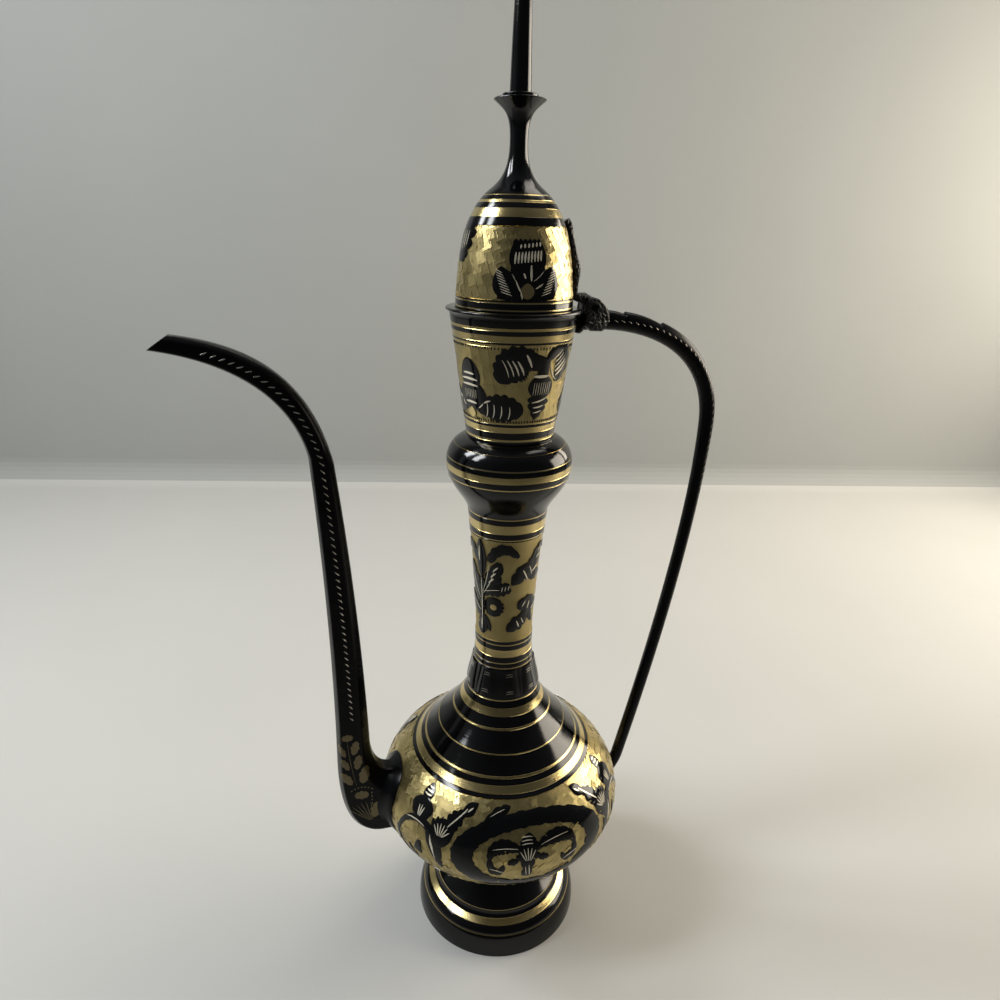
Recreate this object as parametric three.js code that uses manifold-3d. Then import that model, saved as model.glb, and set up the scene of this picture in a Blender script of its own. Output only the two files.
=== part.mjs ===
// Brass surahi: a footed, long-necked ewer with a domed lid on a hinge, a swan-neck spout and a loop handle.
// Millimetres, +Z up. The turned body stands on z = 0 with its axis on Z.
// The spout points to -X, the handle stands at +X and the lid's hinge pin lies along Y.

import * as THREE from 'three';
import { mergeVertices } from 'three/addons/utils/BufferGeometryUtils.js';
import Module from 'manifold-3d';

// Fits
const SEAT_GAP = 0.3; // solder gap round a piece that is let into or shaped to its neighbour
const HINGE_GAP = 0.3; // running gap round the hinge pin and beside the lid's knuckle
const LID_GAP = 0.3; // air between the closed lid and the mouth ring
const SPIGOT_LENGTH = 4; // depth of the soldered sockets between the turned pieces
const SPIGOT_WALL = 1.3;

// Foot
const FOOT_RADIUS = 39.5;
const FOOT_LIP_RADIUS = 36.9;
const FOOT_LIP_HEIGHT = 10.9;
const FOOT_STEP_RADIUS = 30.3;
const FOOT_STEP_HEIGHT = 18.3;
const FOOT_WAIST_RADIUS = 21;
const FOOT_WAIST_HEIGHT = 37;
const FOOT_HEIGHT = 43.9;
const FOOT_WALL = 2.2;
const FOOT_COVE_BEND = 4.6; // height over which the cove above the lip turns
const FOOT_COVE_DRAW = 2; // the cove draws in by this much on the way
const FOOT_STEM_BEND = 8; // height over which the stem above the step turns upright
const FOOT_TOP_FLARE = 2; // height of the flare under the belly

// Belly
const BELLY_RADIUS = 56;
const BOWL_DEPTH = 32.2; // the lower half is this half of an ellipse
const BOWL_SEAT_RADIUS = 22.5; // flat under the bowl that stands on the foot
const SHOULDER_RISE = 36; // the upper half starts as this half of an ellipse
const SHOULDER_RADIUS = 40; // where the ellipse turns into the hollow flare of the shoulder
const SHOULDER_FLARE = 29.7; // height of that flare
const THROAT_RADIUS = 16.3; // where shoulder and neck meet
const BELLY_WALL = 1.5;
const SHOULDER_HOLLOW = 6; // the flare's bend lies this far outside the throat

// Neck, knop and cup
const NECK_LENGTH = 86.4;
const NECK_WAIST_RADIUS = 12.7;
const NECK_WAIST_HEIGHT = 24;
const NECK_TOP_RADIUS = 16.6;
const NECK_WALL = 1.5;
const NECK_FOOT_TAPER = 0.8; // the neck draws in by this much above the throat
const NECK_STALK_BEND = 20; // height over which the stalk leaves its waist and meets the knop
const NECK_TOP_TAPER = 1.8; // the stalk widens by this much under the knop
const KNOP_RADIUS = 25.4;
const KNOP_HEIGHT = 30.7;
const KNOP_BELT_HEIGHT = 19.6;
const KNOP_WALL = 1.6;
const KNOP_FLARE_DRAW = 1.6; // the flare widens by this much
const KNOP_FLARE_BEND = 6; // over this height
const KNOP_BELT_BEND = 9; // height over which the flare turns into the belt
const KNOP_DOME_BEND = 6; // height over which the belt turns into the dome
const KNOP_DOME_WIDTH = 5; // width of the dome's shallow top
const KNOP_DOME_RISE = 1.6; // and its rise
const CUP_HEIGHT = 45.8;
const CUP_FOOT_RADIUS = 17.3;
const CUP_TOP_RADIUS = 24;
const CUP_WALL = 1.5;

// Mouth ring
const RIM_RADIUS = 25.6;
const RIM_THICKNESS = 3.1;
const RIM_LIP = 0.8; // height of the lip's edge
const RIM_HOLLOW = 1.3; // the hollow under the lip bends this far below its top
const MOUTH_RADIUS = 19.6;

// Lid and finial
const LID_RADIUS = 22;
const LID_HEIGHT = 39.8;
const LID_TOP_RADIUS = 9.8;
const LID_WALL = 1.5;
const LID_SIDE_TAPER = 0.5; // the dome's side draws in by this much at first
const LID_SIDE_SHARE = 0.46; // over this share of its height
const LID_CROWN_WIDTH = 9; // width of the dome's shallow crown
const LID_CROWN_RISE = 7; // and its rise
const STEM_HEIGHT = 26.6;
const STEM_WAIST_RADIUS = 3.2;
const STEM_WAIST_HEIGHT = 15.5;
const STEM_TOP_RADIUS = 7.6;
const STEM_FOOT_DRAW = 5.4; // the trumpet's foot draws in by this much
const STEM_FOOT_BEND = 4; // over this height
const STEM_WAIST_BEND = 7; // height over which the trumpet turns upright
const STEM_TOP_BEND = 4; // height over which the stem flares under the disc
const STEM_TOP_DRAW = 3; // the flare widens by this much at last
const STEM_TOP_RISE = 2.4; // over this height
const DISC_RADIUS = 9;
const DISC_THICKNESS = 1.5;
const DISC_EDGE = 0.4; // height of the disc's sharp edge
const COLLAR_RADIUS = 6.2;
const COLLAR_HEIGHT = 1.4;
const SPIRE_RADIUS = 3.7;
const SPIRE_HEIGHT = 51.4;
const SPIRE_TAPER = 0.6; // loss of radius in each half of the spire
const SPIRE_TIP_BEND = 6; // height of the rounded tip
const STUD_RADIUS = 1.4;
const STUD_GRIP = 8; // depth of the stud in the spire
const STUD_PROUD = 1; // stud end below the nut
const NUT_ACROSS_CORNERS = 7;
const NUT_THICKNESS = 2.6;

// Hinge
const HINGE_OFFSET = 5; // pin centre beyond the edge of the mouth ring
const PIN_RADIUS = 1.3;
const PIN_PROUD = 0.5; // pin end beyond the ear
const KNUCKLE_RADIUS = 3.7;
const KNUCKLE_WIDTH = 4.4;
const EAR_WIDTH = 2.6;
const STRAP_THICKNESS = 2.6;
const STRAP_WIDTH = 9;
const STRAP_TIP_WIDTH = 3;
const STRAP_HEIGHT = 30; // top of the strap above the lid's edge
const STRAP_KNOT = 1.3; // extra thickness at the knot half way up
const STRAP_LANDING = 9; // the strap meets the dome this far above the lid's edge
const STRAP_LEAN = 3; // the strap's neck leans this far in from the hinge
const STRAP_NECK_RISE = 4; // where it is this far above the pin
const STRAP_BURIED = 1; // extra thickness that the dome's shape cuts off
const STRAP_TIP_LEAN = 0.15; // slope of the strap's face at its tip

// Spout
const SPOUT_WALL = 1.3;
const SPOUT_ROOT_DEPTH = 10; // the stub's lines start this far inside the belly's side
const SPOUT_ELBOW_RUN = 9; // bend between the stub's top and the arm
const SPOUT_ELBOW_RISE = 20;
const SPOUT_HEEL_RUN = 3; // bend between the stub's bottom and the arm
const SPOUT_HEEL_RISE = 4;
const SPOUT_ARM_BOW = 1.4; // the arm's inner line bows by this much
const SPOUT_ARM_HOLLOW = 2; // and its outer line draws in by this much
const SPOUT_ARM_TAPER = 14; // the inner line's bow lies this far above the arm's middle
const SPOUT_NECK_STEP = 3; // the outer line bends this much later than the inner one
const SPOUT_NECK_LEAN = 6; // above its bend the inner line leans out by this much
const SPOUT_NECK_RISE = 29; // on its way up to where it turns over
const SPOUT_CHIN_LEAN = 4; // the same two for the outer line
const SPOUT_CHIN_RISE = 20;
const SPOUT_BEAK_RUN = 30; // both lines level out this far before their ends
const SPOUT_BEAK_SAG = 4; // the inner one this far below its end
const SPOUT_CHIN_SAG = 5; // and the outer one
const SPOUT_STUB_HEIGHT = 34.5;
const SPOUT_STUB_DEPTH = 15;
const SPOUT_STAND_OFF = 12.6; // from the belly's side to the middle of the upright arm
const SPOUT_ARM_WIDTH = 14.6;
const SPOUT_ARM_DEPTH = 12;
const SPOUT_BEND_HEIGHT = 164; // from the belly's widest line to where the arm bends over
const SPOUT_BEND_LEAN = 5; // the arm leans out by this much on its way up
const SPOUT_BEND_WIDTH = 9.2;
const SPOUT_BEND_DEPTH = 8.6;
const SPOUT_REACH = 54; // from the upright arm to the tip of the beak
const SPOUT_TIP_DROP = 13.6; // the tip of the beak is this far below the mouth ring
const SPOUT_TIP_DEPTH = 7.6;
const SPOUT_MOUTH_RISE = 5; // the oblique cut at the beak rises this much
const SPOUT_MOUTH_RUN = 7.2; // and runs back this much
const SPOUT_COLLAR_EDGE = 3.4;
const SPOUT_COLLAR_THICKNESS = 1.6;

// Handle
const HANDLE_REACH = 88; // furthest point of the rod's middle line from the axis
const HANDLE_REACH_HEIGHT = 172; // of that point above the belly's widest line
const HANDLE_ARM_DROP = 5.7; // middle of the arm below the top of the mouth ring
const HANDLE_ARM_RADIUS = 3.3;
const HANDLE_ROD_RADIUS = 2.8;
const HANDLE_ROOT = 2.6; // the rod's middle line starts this far outside the cup
const HANDLE_ARM_RUN = 0.456; // share of the reach that the arm runs out level
const HANDLE_ARM_RISE = 2.4; // and the rise of its arch
const HANDLE_ARM_FALL = 9; // the arch turns down this far below the arm
const HANDLE_BOW = 0.27; // share of the height over which the rod hangs upright
const HANDLE_RUN_IN = 0.31; // share of the height over which it runs in to the belly
const HANDLE_RUN_IN_LEAN = 12; // lean of that run
const HANDLE_LOWER_OFFSET = 6; // rod's middle line outside the belly's side
const HANDLE_HOOK_RUN = 11; // the hook under the belly's widest line runs in this far
const HANDLE_HOOK_DROP = 15; // and ends this far below that line
const HANDLE_HOOK_BEND = 9;
const LEAF_STARTS = [10, 18.6, 35]; // along the rod from its root, where a leaf laid over it begins
const LEAF_END = 62;
const LEAF_LIFT = 1.1;
const LUG_RADIUS = 2.3;
const LUG_LENGTH = 7;

// Facets
const BODY_STEPS = 36;
const SMALL_STEPS = 20;
const ROD_STEPS = 12;
const DOME_STEPS = 9;
const STRAP_STEPS = 8;
const HANDLE_RINGS = 34;
const HANDLE_DIVISIONS = 400; // samples of the rod's length
const LEAF_EDGE = 0.2; // length of the step at a leaf's tip
const MERGE_TOLERANCE = 1e-4;

// Heights that follow from the stack of pieces
const EQUATOR_Z = FOOT_HEIGHT + ellipseHeight(BOWL_SEAT_RADIUS, BELLY_RADIUS, BOWL_DEPTH);
const SHOULDER_Z = EQUATOR_Z + ellipseHeight(SHOULDER_RADIUS, BELLY_RADIUS, SHOULDER_RISE);
const NECK_Z = SHOULDER_Z + SHOULDER_FLARE;
const KNOP_Z = NECK_Z + NECK_LENGTH;
const CUP_Z = KNOP_Z + KNOP_HEIGHT;
const RIM_Z = CUP_Z + CUP_HEIGHT;
const RIM_TOP_Z = RIM_Z + RIM_THICKNESS;
const LID_Z = RIM_TOP_Z + LID_GAP;
const LID_TOP_Z = LID_Z + LID_HEIGHT;
const DISC_Z = LID_TOP_Z + STEM_HEIGHT;
const COLLAR_Z = DISC_Z + DISC_THICKNESS;
const SPIRE_Z = COLLAR_Z + COLLAR_HEIGHT;
const HINGE_X = RIM_RADIUS + HINGE_OFFSET;
const HINGE_Z = RIM_TOP_Z;
const STUD_BORE = STUD_RADIUS + SEAT_GAP;

const wasm = await Module();
wasm.setup();

// Height of an ellipse of half axes a and b above its middle, at the distance r from it.
function ellipseHeight(r, a, b) {
  return b * Math.sqrt(1 - (r / a) ** 2);
}

function point(r, z) {
  return new THREE.Vector2(r, z);
}

// Positions only, with shared vertices merged, collapsed faces dropped and the faces turned outwards.
function weld(geometry) {
  geometry.deleteAttribute('normal');
  geometry.deleteAttribute('uv');
  const merged = mergeVertices(geometry, MERGE_TOLERANCE);
  const corners = merged.index.array;
  const place = merged.attributes.position;
  const [p, q, s] = [new THREE.Vector3(), new THREE.Vector3(), new THREE.Vector3()];
  const kept = [];
  let volume = 0;
  for (let i = 0; i < corners.length; i += 3) {
    const [a, b, c] = [corners[i], corners[i + 1], corners[i + 2]];
    if (a === b || b === c || c === a) continue;
    kept.push(a, b, c);
    p.fromBufferAttribute(place, a);
    q.fromBufferAttribute(place, b);
    s.fromBufferAttribute(place, c);
    volume += p.dot(q.cross(s));
  }
  merged.setIndex(volume < 0 ? kept.reverse() : kept);
  return merged;
}

function toSolid(geometry) {
  const welded = weld(geometry);
  const vertProperties = new Float32Array(welded.attributes.position.array);
  const triVerts = new Uint32Array(welded.index.array);
  return new wasm.Manifold(new wasm.Mesh({ numProp: 3, vertProperties, triVerts }));
}

function toGeometry(solid) {
  const { vertProperties, triVerts } = solid.getMesh();
  const geometry = new THREE.BufferGeometry();
  geometry.setAttribute('position', new THREE.BufferAttribute(new Float32Array(vertProperties), 3));
  geometry.setIndex(new THREE.BufferAttribute(new Uint32Array(triVerts), 1));
  return geometry;
}

// A solid of revolution about Z from an outline of points (radius, height).
// The outline starts and ends on the axis, or is closed here.
function turned(outline, steps = BODY_STEPS) {
  const onAxis = outline[0].x === 0 && outline.at(-1).x === 0;
  const profile = onAxis ? outline : [...outline, outline[0].clone()];
  const geometry = new THREE.LatheGeometry(profile, steps);
  geometry.rotateX(Math.PI / 2);
  return toSolid(geometry);
}

// The inside of a wall: the outline, with every other point, moved towards the axis.
// Its two ends keep their heights.
function inside(outline, wall) {
  const outer = outline.filter((place, i) => i % 2 === 0 || i === outline.length - 1);
  return outer.map((here, i) => {
    const before = outer[Math.max(i - 1, 0)];
    const after = outer[Math.min(i + 1, outer.length - 1)];
    const along = after.clone().sub(before).normalize();
    const moved = point(here.x - wall * along.y, here.y + wall * along.x);
    if (i > 0 && i < outer.length - 1) return moved;
    return point(here.x - wall / Math.max(along.y, Math.SQRT1_2), here.y);
  });
}

// Radius of an outline at a height, for outlines that only rise.
function radiusAt(outline, z) {
  const i = Math.max(outline.findIndex((place) => place.y >= z), 1);
  const [low, high] = [outline[i - 1], outline[i]];
  return THREE.MathUtils.mapLinear(z, low.y, high.y, low.x, high.x);
}

// A closed body through sections that have the same number of points.
function loft(sections) {
  const count = sections[0].length;
  const index = [];
  for (let s = 0; s + 1 < sections.length; s += 1) {
    for (let i = 0; i < count; i += 1) {
      const [a, b] = [s * count + i, s * count + (i + 1) % count];
      index.push(a, b, b + count, a, b + count, a + count);
    }
  }
  const last = (sections.length - 1) * count;
  for (let i = 1; i + 1 < count; i += 1) {
    index.push(0, i + 1, i, last, last + i, last + i + 1);
  }
  const geometry = new THREE.BufferGeometry().setFromPoints(sections.flat());
  geometry.setIndex(index);
  return toSolid(geometry);
}

// A rod along Y through (x, z).
function crossRod(radius, length, x, z) {
  const rod = new THREE.CylinderGeometry(radius, radius, length, SMALL_STEPS);
  rod.translate(x, 0, z);
  return toSolid(rod);
}

function block(width, depth, height, x, y, z) {
  const box = new THREE.BoxGeometry(width, depth, height);
  box.translate(x, y, z);
  return toSolid(box);
}

// Outlines of the turned pieces, from the bottom up

function footOutline() {
  const lip = new THREE.QuadraticBezierCurve(
    point(FOOT_RADIUS, 0),
    point(FOOT_RADIUS, FOOT_LIP_HEIGHT * 0.7),
    point(FOOT_LIP_RADIUS, FOOT_LIP_HEIGHT),
  );
  const cove = new THREE.CubicBezierCurve(
    point(FOOT_LIP_RADIUS, FOOT_LIP_HEIGHT),
    point(FOOT_LIP_RADIUS - FOOT_COVE_DRAW, FOOT_LIP_HEIGHT + FOOT_COVE_BEND),
    point(FOOT_STEP_RADIUS + FOOT_COVE_DRAW / 4, FOOT_STEP_HEIGHT - FOOT_COVE_BEND),
    point(FOOT_STEP_RADIUS, FOOT_STEP_HEIGHT),
  );
  const stem = new THREE.QuadraticBezierCurve(
    point(FOOT_STEP_RADIUS, FOOT_STEP_HEIGHT),
    point(FOOT_WAIST_RADIUS, FOOT_STEP_HEIGHT + FOOT_STEM_BEND),
    point(FOOT_WAIST_RADIUS, FOOT_WAIST_HEIGHT),
  );
  const top = new THREE.QuadraticBezierCurve(
    point(FOOT_WAIST_RADIUS, FOOT_WAIST_HEIGHT),
    point(FOOT_WAIST_RADIUS, FOOT_HEIGHT - FOOT_TOP_FLARE),
    point(BOWL_SEAT_RADIUS, FOOT_HEIGHT),
  );
  const above = [...stem.getPoints(4).slice(1), ...top.getPoints(2).slice(1)];
  return [...lip.getPoints(3), ...cove.getPoints(4).slice(1), ...above];
}

function bowlOutline(grown = 0) {
  const half = new THREE.EllipseCurve(0, EQUATOR_Z, BELLY_RADIUS + grown, BOWL_DEPTH + grown);
  half.aStartAngle = -Math.acos(BOWL_SEAT_RADIUS / BELLY_RADIUS);
  half.aEndAngle = 0;
  return half.getPoints(8);
}

function shoulderDome(grown = 0) {
  const half = new THREE.EllipseCurve(0, EQUATOR_Z, BELLY_RADIUS + grown, SHOULDER_RISE + grown);
  half.aStartAngle = 0;
  half.aEndAngle = Math.acos(SHOULDER_RADIUS / BELLY_RADIUS);
  return half.getPoints(6);
}

function shoulderOutline() {
  const flare = new THREE.QuadraticBezierCurve(
    point(SHOULDER_RADIUS, SHOULDER_Z),
    point(THROAT_RADIUS + SHOULDER_HOLLOW, SHOULDER_Z + SHOULDER_FLARE / 2),
    point(THROAT_RADIUS, NECK_Z),
  );
  return [...shoulderDome(), ...flare.getPoints(6).slice(1)];
}

function neckOutline() {
  const waist = NECK_Z + NECK_WAIST_HEIGHT;
  const foot = new THREE.CubicBezierCurve(
    point(THROAT_RADIUS, NECK_Z),
    point(THROAT_RADIUS - NECK_FOOT_TAPER, NECK_Z + NECK_WAIST_HEIGHT * 0.35),
    point(NECK_WAIST_RADIUS, waist - NECK_WAIST_HEIGHT * 0.5),
    point(NECK_WAIST_RADIUS, waist),
  );
  const stalk = new THREE.CubicBezierCurve(
    point(NECK_WAIST_RADIUS, waist),
    point(NECK_WAIST_RADIUS, waist + NECK_STALK_BEND),
    point(NECK_TOP_RADIUS - NECK_TOP_TAPER, KNOP_Z - NECK_STALK_BEND),
    point(NECK_TOP_RADIUS, KNOP_Z),
  );
  return [...foot.getPoints(5), ...stalk.getPoints(5).slice(1)];
}

function knopOutline() {
  const belt = KNOP_Z + KNOP_BELT_HEIGHT;
  const flare = new THREE.CubicBezierCurve(
    point(NECK_TOP_RADIUS, KNOP_Z),
    point(NECK_TOP_RADIUS + KNOP_FLARE_DRAW, KNOP_Z + KNOP_FLARE_BEND),
    point(KNOP_RADIUS, belt - KNOP_BELT_BEND),
    point(KNOP_RADIUS, belt),
  );
  const dome = new THREE.CubicBezierCurve(
    point(KNOP_RADIUS, belt),
    point(KNOP_RADIUS, belt + KNOP_DOME_BEND),
    point(CUP_FOOT_RADIUS + KNOP_DOME_WIDTH, CUP_Z - KNOP_DOME_RISE),
    point(CUP_FOOT_RADIUS, CUP_Z),
  );
  return [...flare.getPoints(5), ...dome.getPoints(5).slice(1)];
}

function cupRadius(z) {
  return CUP_FOOT_RADIUS + (CUP_TOP_RADIUS - CUP_FOOT_RADIUS) * (z - CUP_Z) / CUP_HEIGHT;
}

function domeCurve() {
  return new THREE.CubicBezierCurve(
    point(LID_RADIUS, LID_Z),
    point(LID_RADIUS - LID_SIDE_TAPER, LID_Z + LID_HEIGHT * LID_SIDE_SHARE),
    point(LID_TOP_RADIUS + LID_CROWN_WIDTH, LID_TOP_Z - LID_CROWN_RISE),
    point(LID_TOP_RADIUS, LID_TOP_Z),
  );
}

// Turned pieces

function foot() {
  const outer = footOutline();
  return turned([...outer, ...inside(outer, FOOT_WALL).reverse()]);
}

// The bowl is closed below, with a boss that centres it in the mouth of the foot.
function bowl() {
  const outer = bowlOutline();
  const inner = inside(outer, BELLY_WALL);
  const footBore = Math.min(...inside(footOutline(), FOOT_WALL).map((place) => place.x));
  const floor = FOOT_HEIGHT + BELLY_WALL;
  const boss = footBore - SEAT_GAP;
  const bossFoot = FOOT_HEIGHT - SPIGOT_LENGTH / 2;
  const under = [point(0, bossFoot), point(boss, bossFoot), point(boss, FOOT_HEIGHT)];
  const within = [...inner.slice(1).reverse(), point(boss, floor), point(0, floor)];
  return turned([...under, ...outer, ...within]);
}

// The shoulder's lip is let into the bowl at the belly's widest line.
function shoulder() {
  const outer = shoulderOutline();
  const inner = inside(outer, BELLY_WALL);
  const lipFoot = EQUATOR_Z - SPIGOT_LENGTH;
  const lip = radiusAt(inside(bowlOutline(), BELLY_WALL), lipFoot) - SEAT_GAP;
  const lipInside = lip - SPIGOT_WALL;
  const lipWithin = [point(lipInside, EQUATOR_Z), point(lipInside, lipFoot)];
  const lipOutside = [point(lip, lipFoot), point(lip, EQUATOR_Z)];
  return turned([...lipWithin, ...lipOutside, ...outer, ...inner.slice(1).reverse()]);
}

// Spigots at both ends enter the shoulder and the knop.
function neck() {
  const outer = neckOutline();
  const inner = inside(outer, NECK_WALL).slice(1, -1);
  const low = inside(shoulderOutline(), BELLY_WALL).at(-1).x - SEAT_GAP;
  const high = inside(knopOutline(), KNOP_WALL)[0].x - SEAT_GAP;
  const lowEnd = [point(low - SPIGOT_WALL, NECK_Z - SPIGOT_LENGTH), point(low, NECK_Z - SPIGOT_LENGTH)];
  const highEnd = [point(high, KNOP_Z), point(high, KNOP_Z + SPIGOT_LENGTH)];
  highEnd.push(point(high - SPIGOT_WALL, KNOP_Z + SPIGOT_LENGTH));
  return turned([...lowEnd, point(low, NECK_Z), ...outer, ...highEnd, ...inner.reverse()]);
}

function knop() {
  const outer = knopOutline();
  const inner = inside(outer, KNOP_WALL);
  const spigot = CUP_FOOT_RADIUS - CUP_WALL - SEAT_GAP;
  const bore = spigot - SPIGOT_WALL;
  const top = [point(spigot, CUP_Z), point(spigot, CUP_Z + SPIGOT_LENGTH)];
  top.push(point(bore, CUP_Z + SPIGOT_LENGTH), point(bore, CUP_Z - KNOP_WALL));
  return turned([...outer, ...top, ...inner.slice(0, -1).reverse()]);
}

function cupOutline(grown = 0) {
  return [point(CUP_FOOT_RADIUS + grown, CUP_Z), point(CUP_TOP_RADIUS + grown, RIM_Z)];
}

function cup() {
  return turned([...cupOutline(), ...cupOutline(-CUP_WALL).reverse()]);
}

// A ring with a thin lip over a hollow, let into the top of the cup.
function rimOutline(grown = 0) {
  const hollow = new THREE.QuadraticBezierCurve(
    point(CUP_TOP_RADIUS + grown, RIM_Z - grown),
    point(CUP_TOP_RADIUS + grown, RIM_TOP_Z - RIM_HOLLOW),
    point(RIM_RADIUS + grown, RIM_TOP_Z - RIM_LIP),
  );
  const shoulder = point(RIM_RADIUS - RIM_LIP / 2 + grown, RIM_TOP_Z + grown);
  return [...hollow.getPoints(3), shoulder];
}

function rim() {
  const spigot = cupRadius(RIM_Z - SPIGOT_LENGTH) - CUP_WALL - SEAT_GAP;
  const low = RIM_Z - SPIGOT_LENGTH;
  const under = [point(MOUTH_RADIUS, low), point(spigot, low), point(spigot, RIM_Z)];
  return turned([...under, ...rimOutline(), point(MOUTH_RADIUS, RIM_TOP_Z)]);
}

// The lid is open below and bored through its flat top for the finial's stud.
function lid() {
  const outer = domeCurve().getPoints(DOME_STEPS);
  const inner = inside(outer, LID_WALL).slice(0, -1);
  const ceiling = LID_TOP_Z - LID_WALL;
  const roof = inner.filter((place) => place.y < ceiling - LID_WALL);
  const top = [point(STUD_BORE, LID_TOP_Z), point(STUD_BORE, ceiling)];
  top.push(point(LID_TOP_RADIUS - LID_WALL, ceiling));
  return turned([...outer, ...top, ...roof.reverse()]);
}

function lidBody(grown) {
  const outer = domeCurve().getPoints(DOME_STEPS).map((place) => point(place.x + grown, place.y));
  const under = [point(0, LID_Z - grown), point(LID_RADIUS + grown, LID_Z - grown)];
  return turned([...under, ...outer, point(0, LID_TOP_Z)]);
}

// Finial

function finialStem() {
  const waist = LID_TOP_Z + STEM_WAIST_HEIGHT;
  const trumpet = new THREE.CubicBezierCurve(
    point(LID_TOP_RADIUS, LID_TOP_Z),
    point(LID_TOP_RADIUS - STEM_FOOT_DRAW, LID_TOP_Z + STEM_FOOT_BEND),
    point(STEM_WAIST_RADIUS, waist - STEM_WAIST_BEND),
    point(STEM_WAIST_RADIUS, waist),
  );
  const flare = new THREE.CubicBezierCurve(
    point(STEM_WAIST_RADIUS, waist),
    point(STEM_WAIST_RADIUS, DISC_Z - STEM_TOP_BEND),
    point(STEM_TOP_RADIUS - STEM_TOP_DRAW, DISC_Z - STEM_TOP_RISE),
    point(STEM_TOP_RADIUS, DISC_Z),
  );
  const outer = [...trumpet.getPoints(6), ...flare.getPoints(5).slice(1)];
  return turned([...outer, point(STUD_BORE, DISC_Z), point(STUD_BORE, LID_TOP_Z)], SMALL_STEPS);
}

// A ring of the finial that widens from its foot to a sharp edge.
function ringPlate(foot, radius, z, thickness) {
  const edge = [point(foot, z), point(radius, z + thickness - DISC_EDGE)];
  edge.push(point(radius - DISC_EDGE, z + thickness));
  return turned([point(STUD_BORE, z), ...edge, point(STUD_BORE, z + thickness)], SMALL_STEPS);
}

// The spire tapers gently to a rounded point and holds the stud's upper end.
function finialSpire() {
  const tip = SPIRE_Z + SPIRE_HEIGHT;
  const taper = new THREE.CubicBezierCurve(
    point(SPIRE_RADIUS, SPIRE_Z),
    point(SPIRE_RADIUS - SPIRE_TAPER, SPIRE_Z + SPIRE_HEIGHT / 2),
    point(SPIRE_RADIUS - 2 * SPIRE_TAPER, tip - SPIRE_TIP_BEND),
    point(0, tip),
  );
  const holeEnd = SPIRE_Z + STUD_GRIP + SEAT_GAP;
  const hole = [point(0, holeEnd), point(STUD_BORE, holeEnd), point(STUD_BORE, SPIRE_Z)];
  return turned([...hole, ...taper.getPoints(8)], SMALL_STEPS);
}

function finialStud() {
  const low = LID_TOP_Z - LID_WALL - NUT_THICKNESS - STUD_PROUD;
  const high = SPIRE_Z + STUD_GRIP;
  const side = [point(0, low), point(STUD_RADIUS, low), point(STUD_RADIUS, high), point(0, high)];
  return turned(side, ROD_STEPS);
}

function finialNut() {
  const top = LID_TOP_Z - LID_WALL;
  const corner = NUT_ACROSS_CORNERS / 2;
  const hexagon = new THREE.CylinderGeometry(corner, corner, NUT_THICKNESS, 6);
  hexagon.rotateX(Math.PI / 2);
  hexagon.translate(0, 0, top - NUT_THICKNESS / 2);
  const bore = new THREE.CylinderGeometry(STUD_BORE, STUD_BORE, NUT_THICKNESS * 2, ROD_STEPS);
  bore.rotateX(Math.PI / 2);
  bore.translate(0, 0, top - NUT_THICKNESS / 2);
  return toSolid(hexagon).subtract(toSolid(bore));
}

// Bodies of the belly, cup and ring grown by a gap, which shape what is soldered to them

function bellyBody(grown) {
  const side = [...bowlOutline(grown), ...shoulderDome(grown).slice(1)];
  return turned([point(0, side[0].y), ...side, point(0, side.at(-1).y)]);
}

function cupBody(grown) {
  return turned([point(0, CUP_Z), ...cupOutline(grown), point(0, RIM_Z)]);
}

function rimBody(grown) {
  return turned([point(0, RIM_Z - grown), ...rimOutline(grown), point(0, RIM_TOP_Z + grown)]);
}

// Spout: a flattened tube between two rails in the plane y = 0, in distances from the axis

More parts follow.
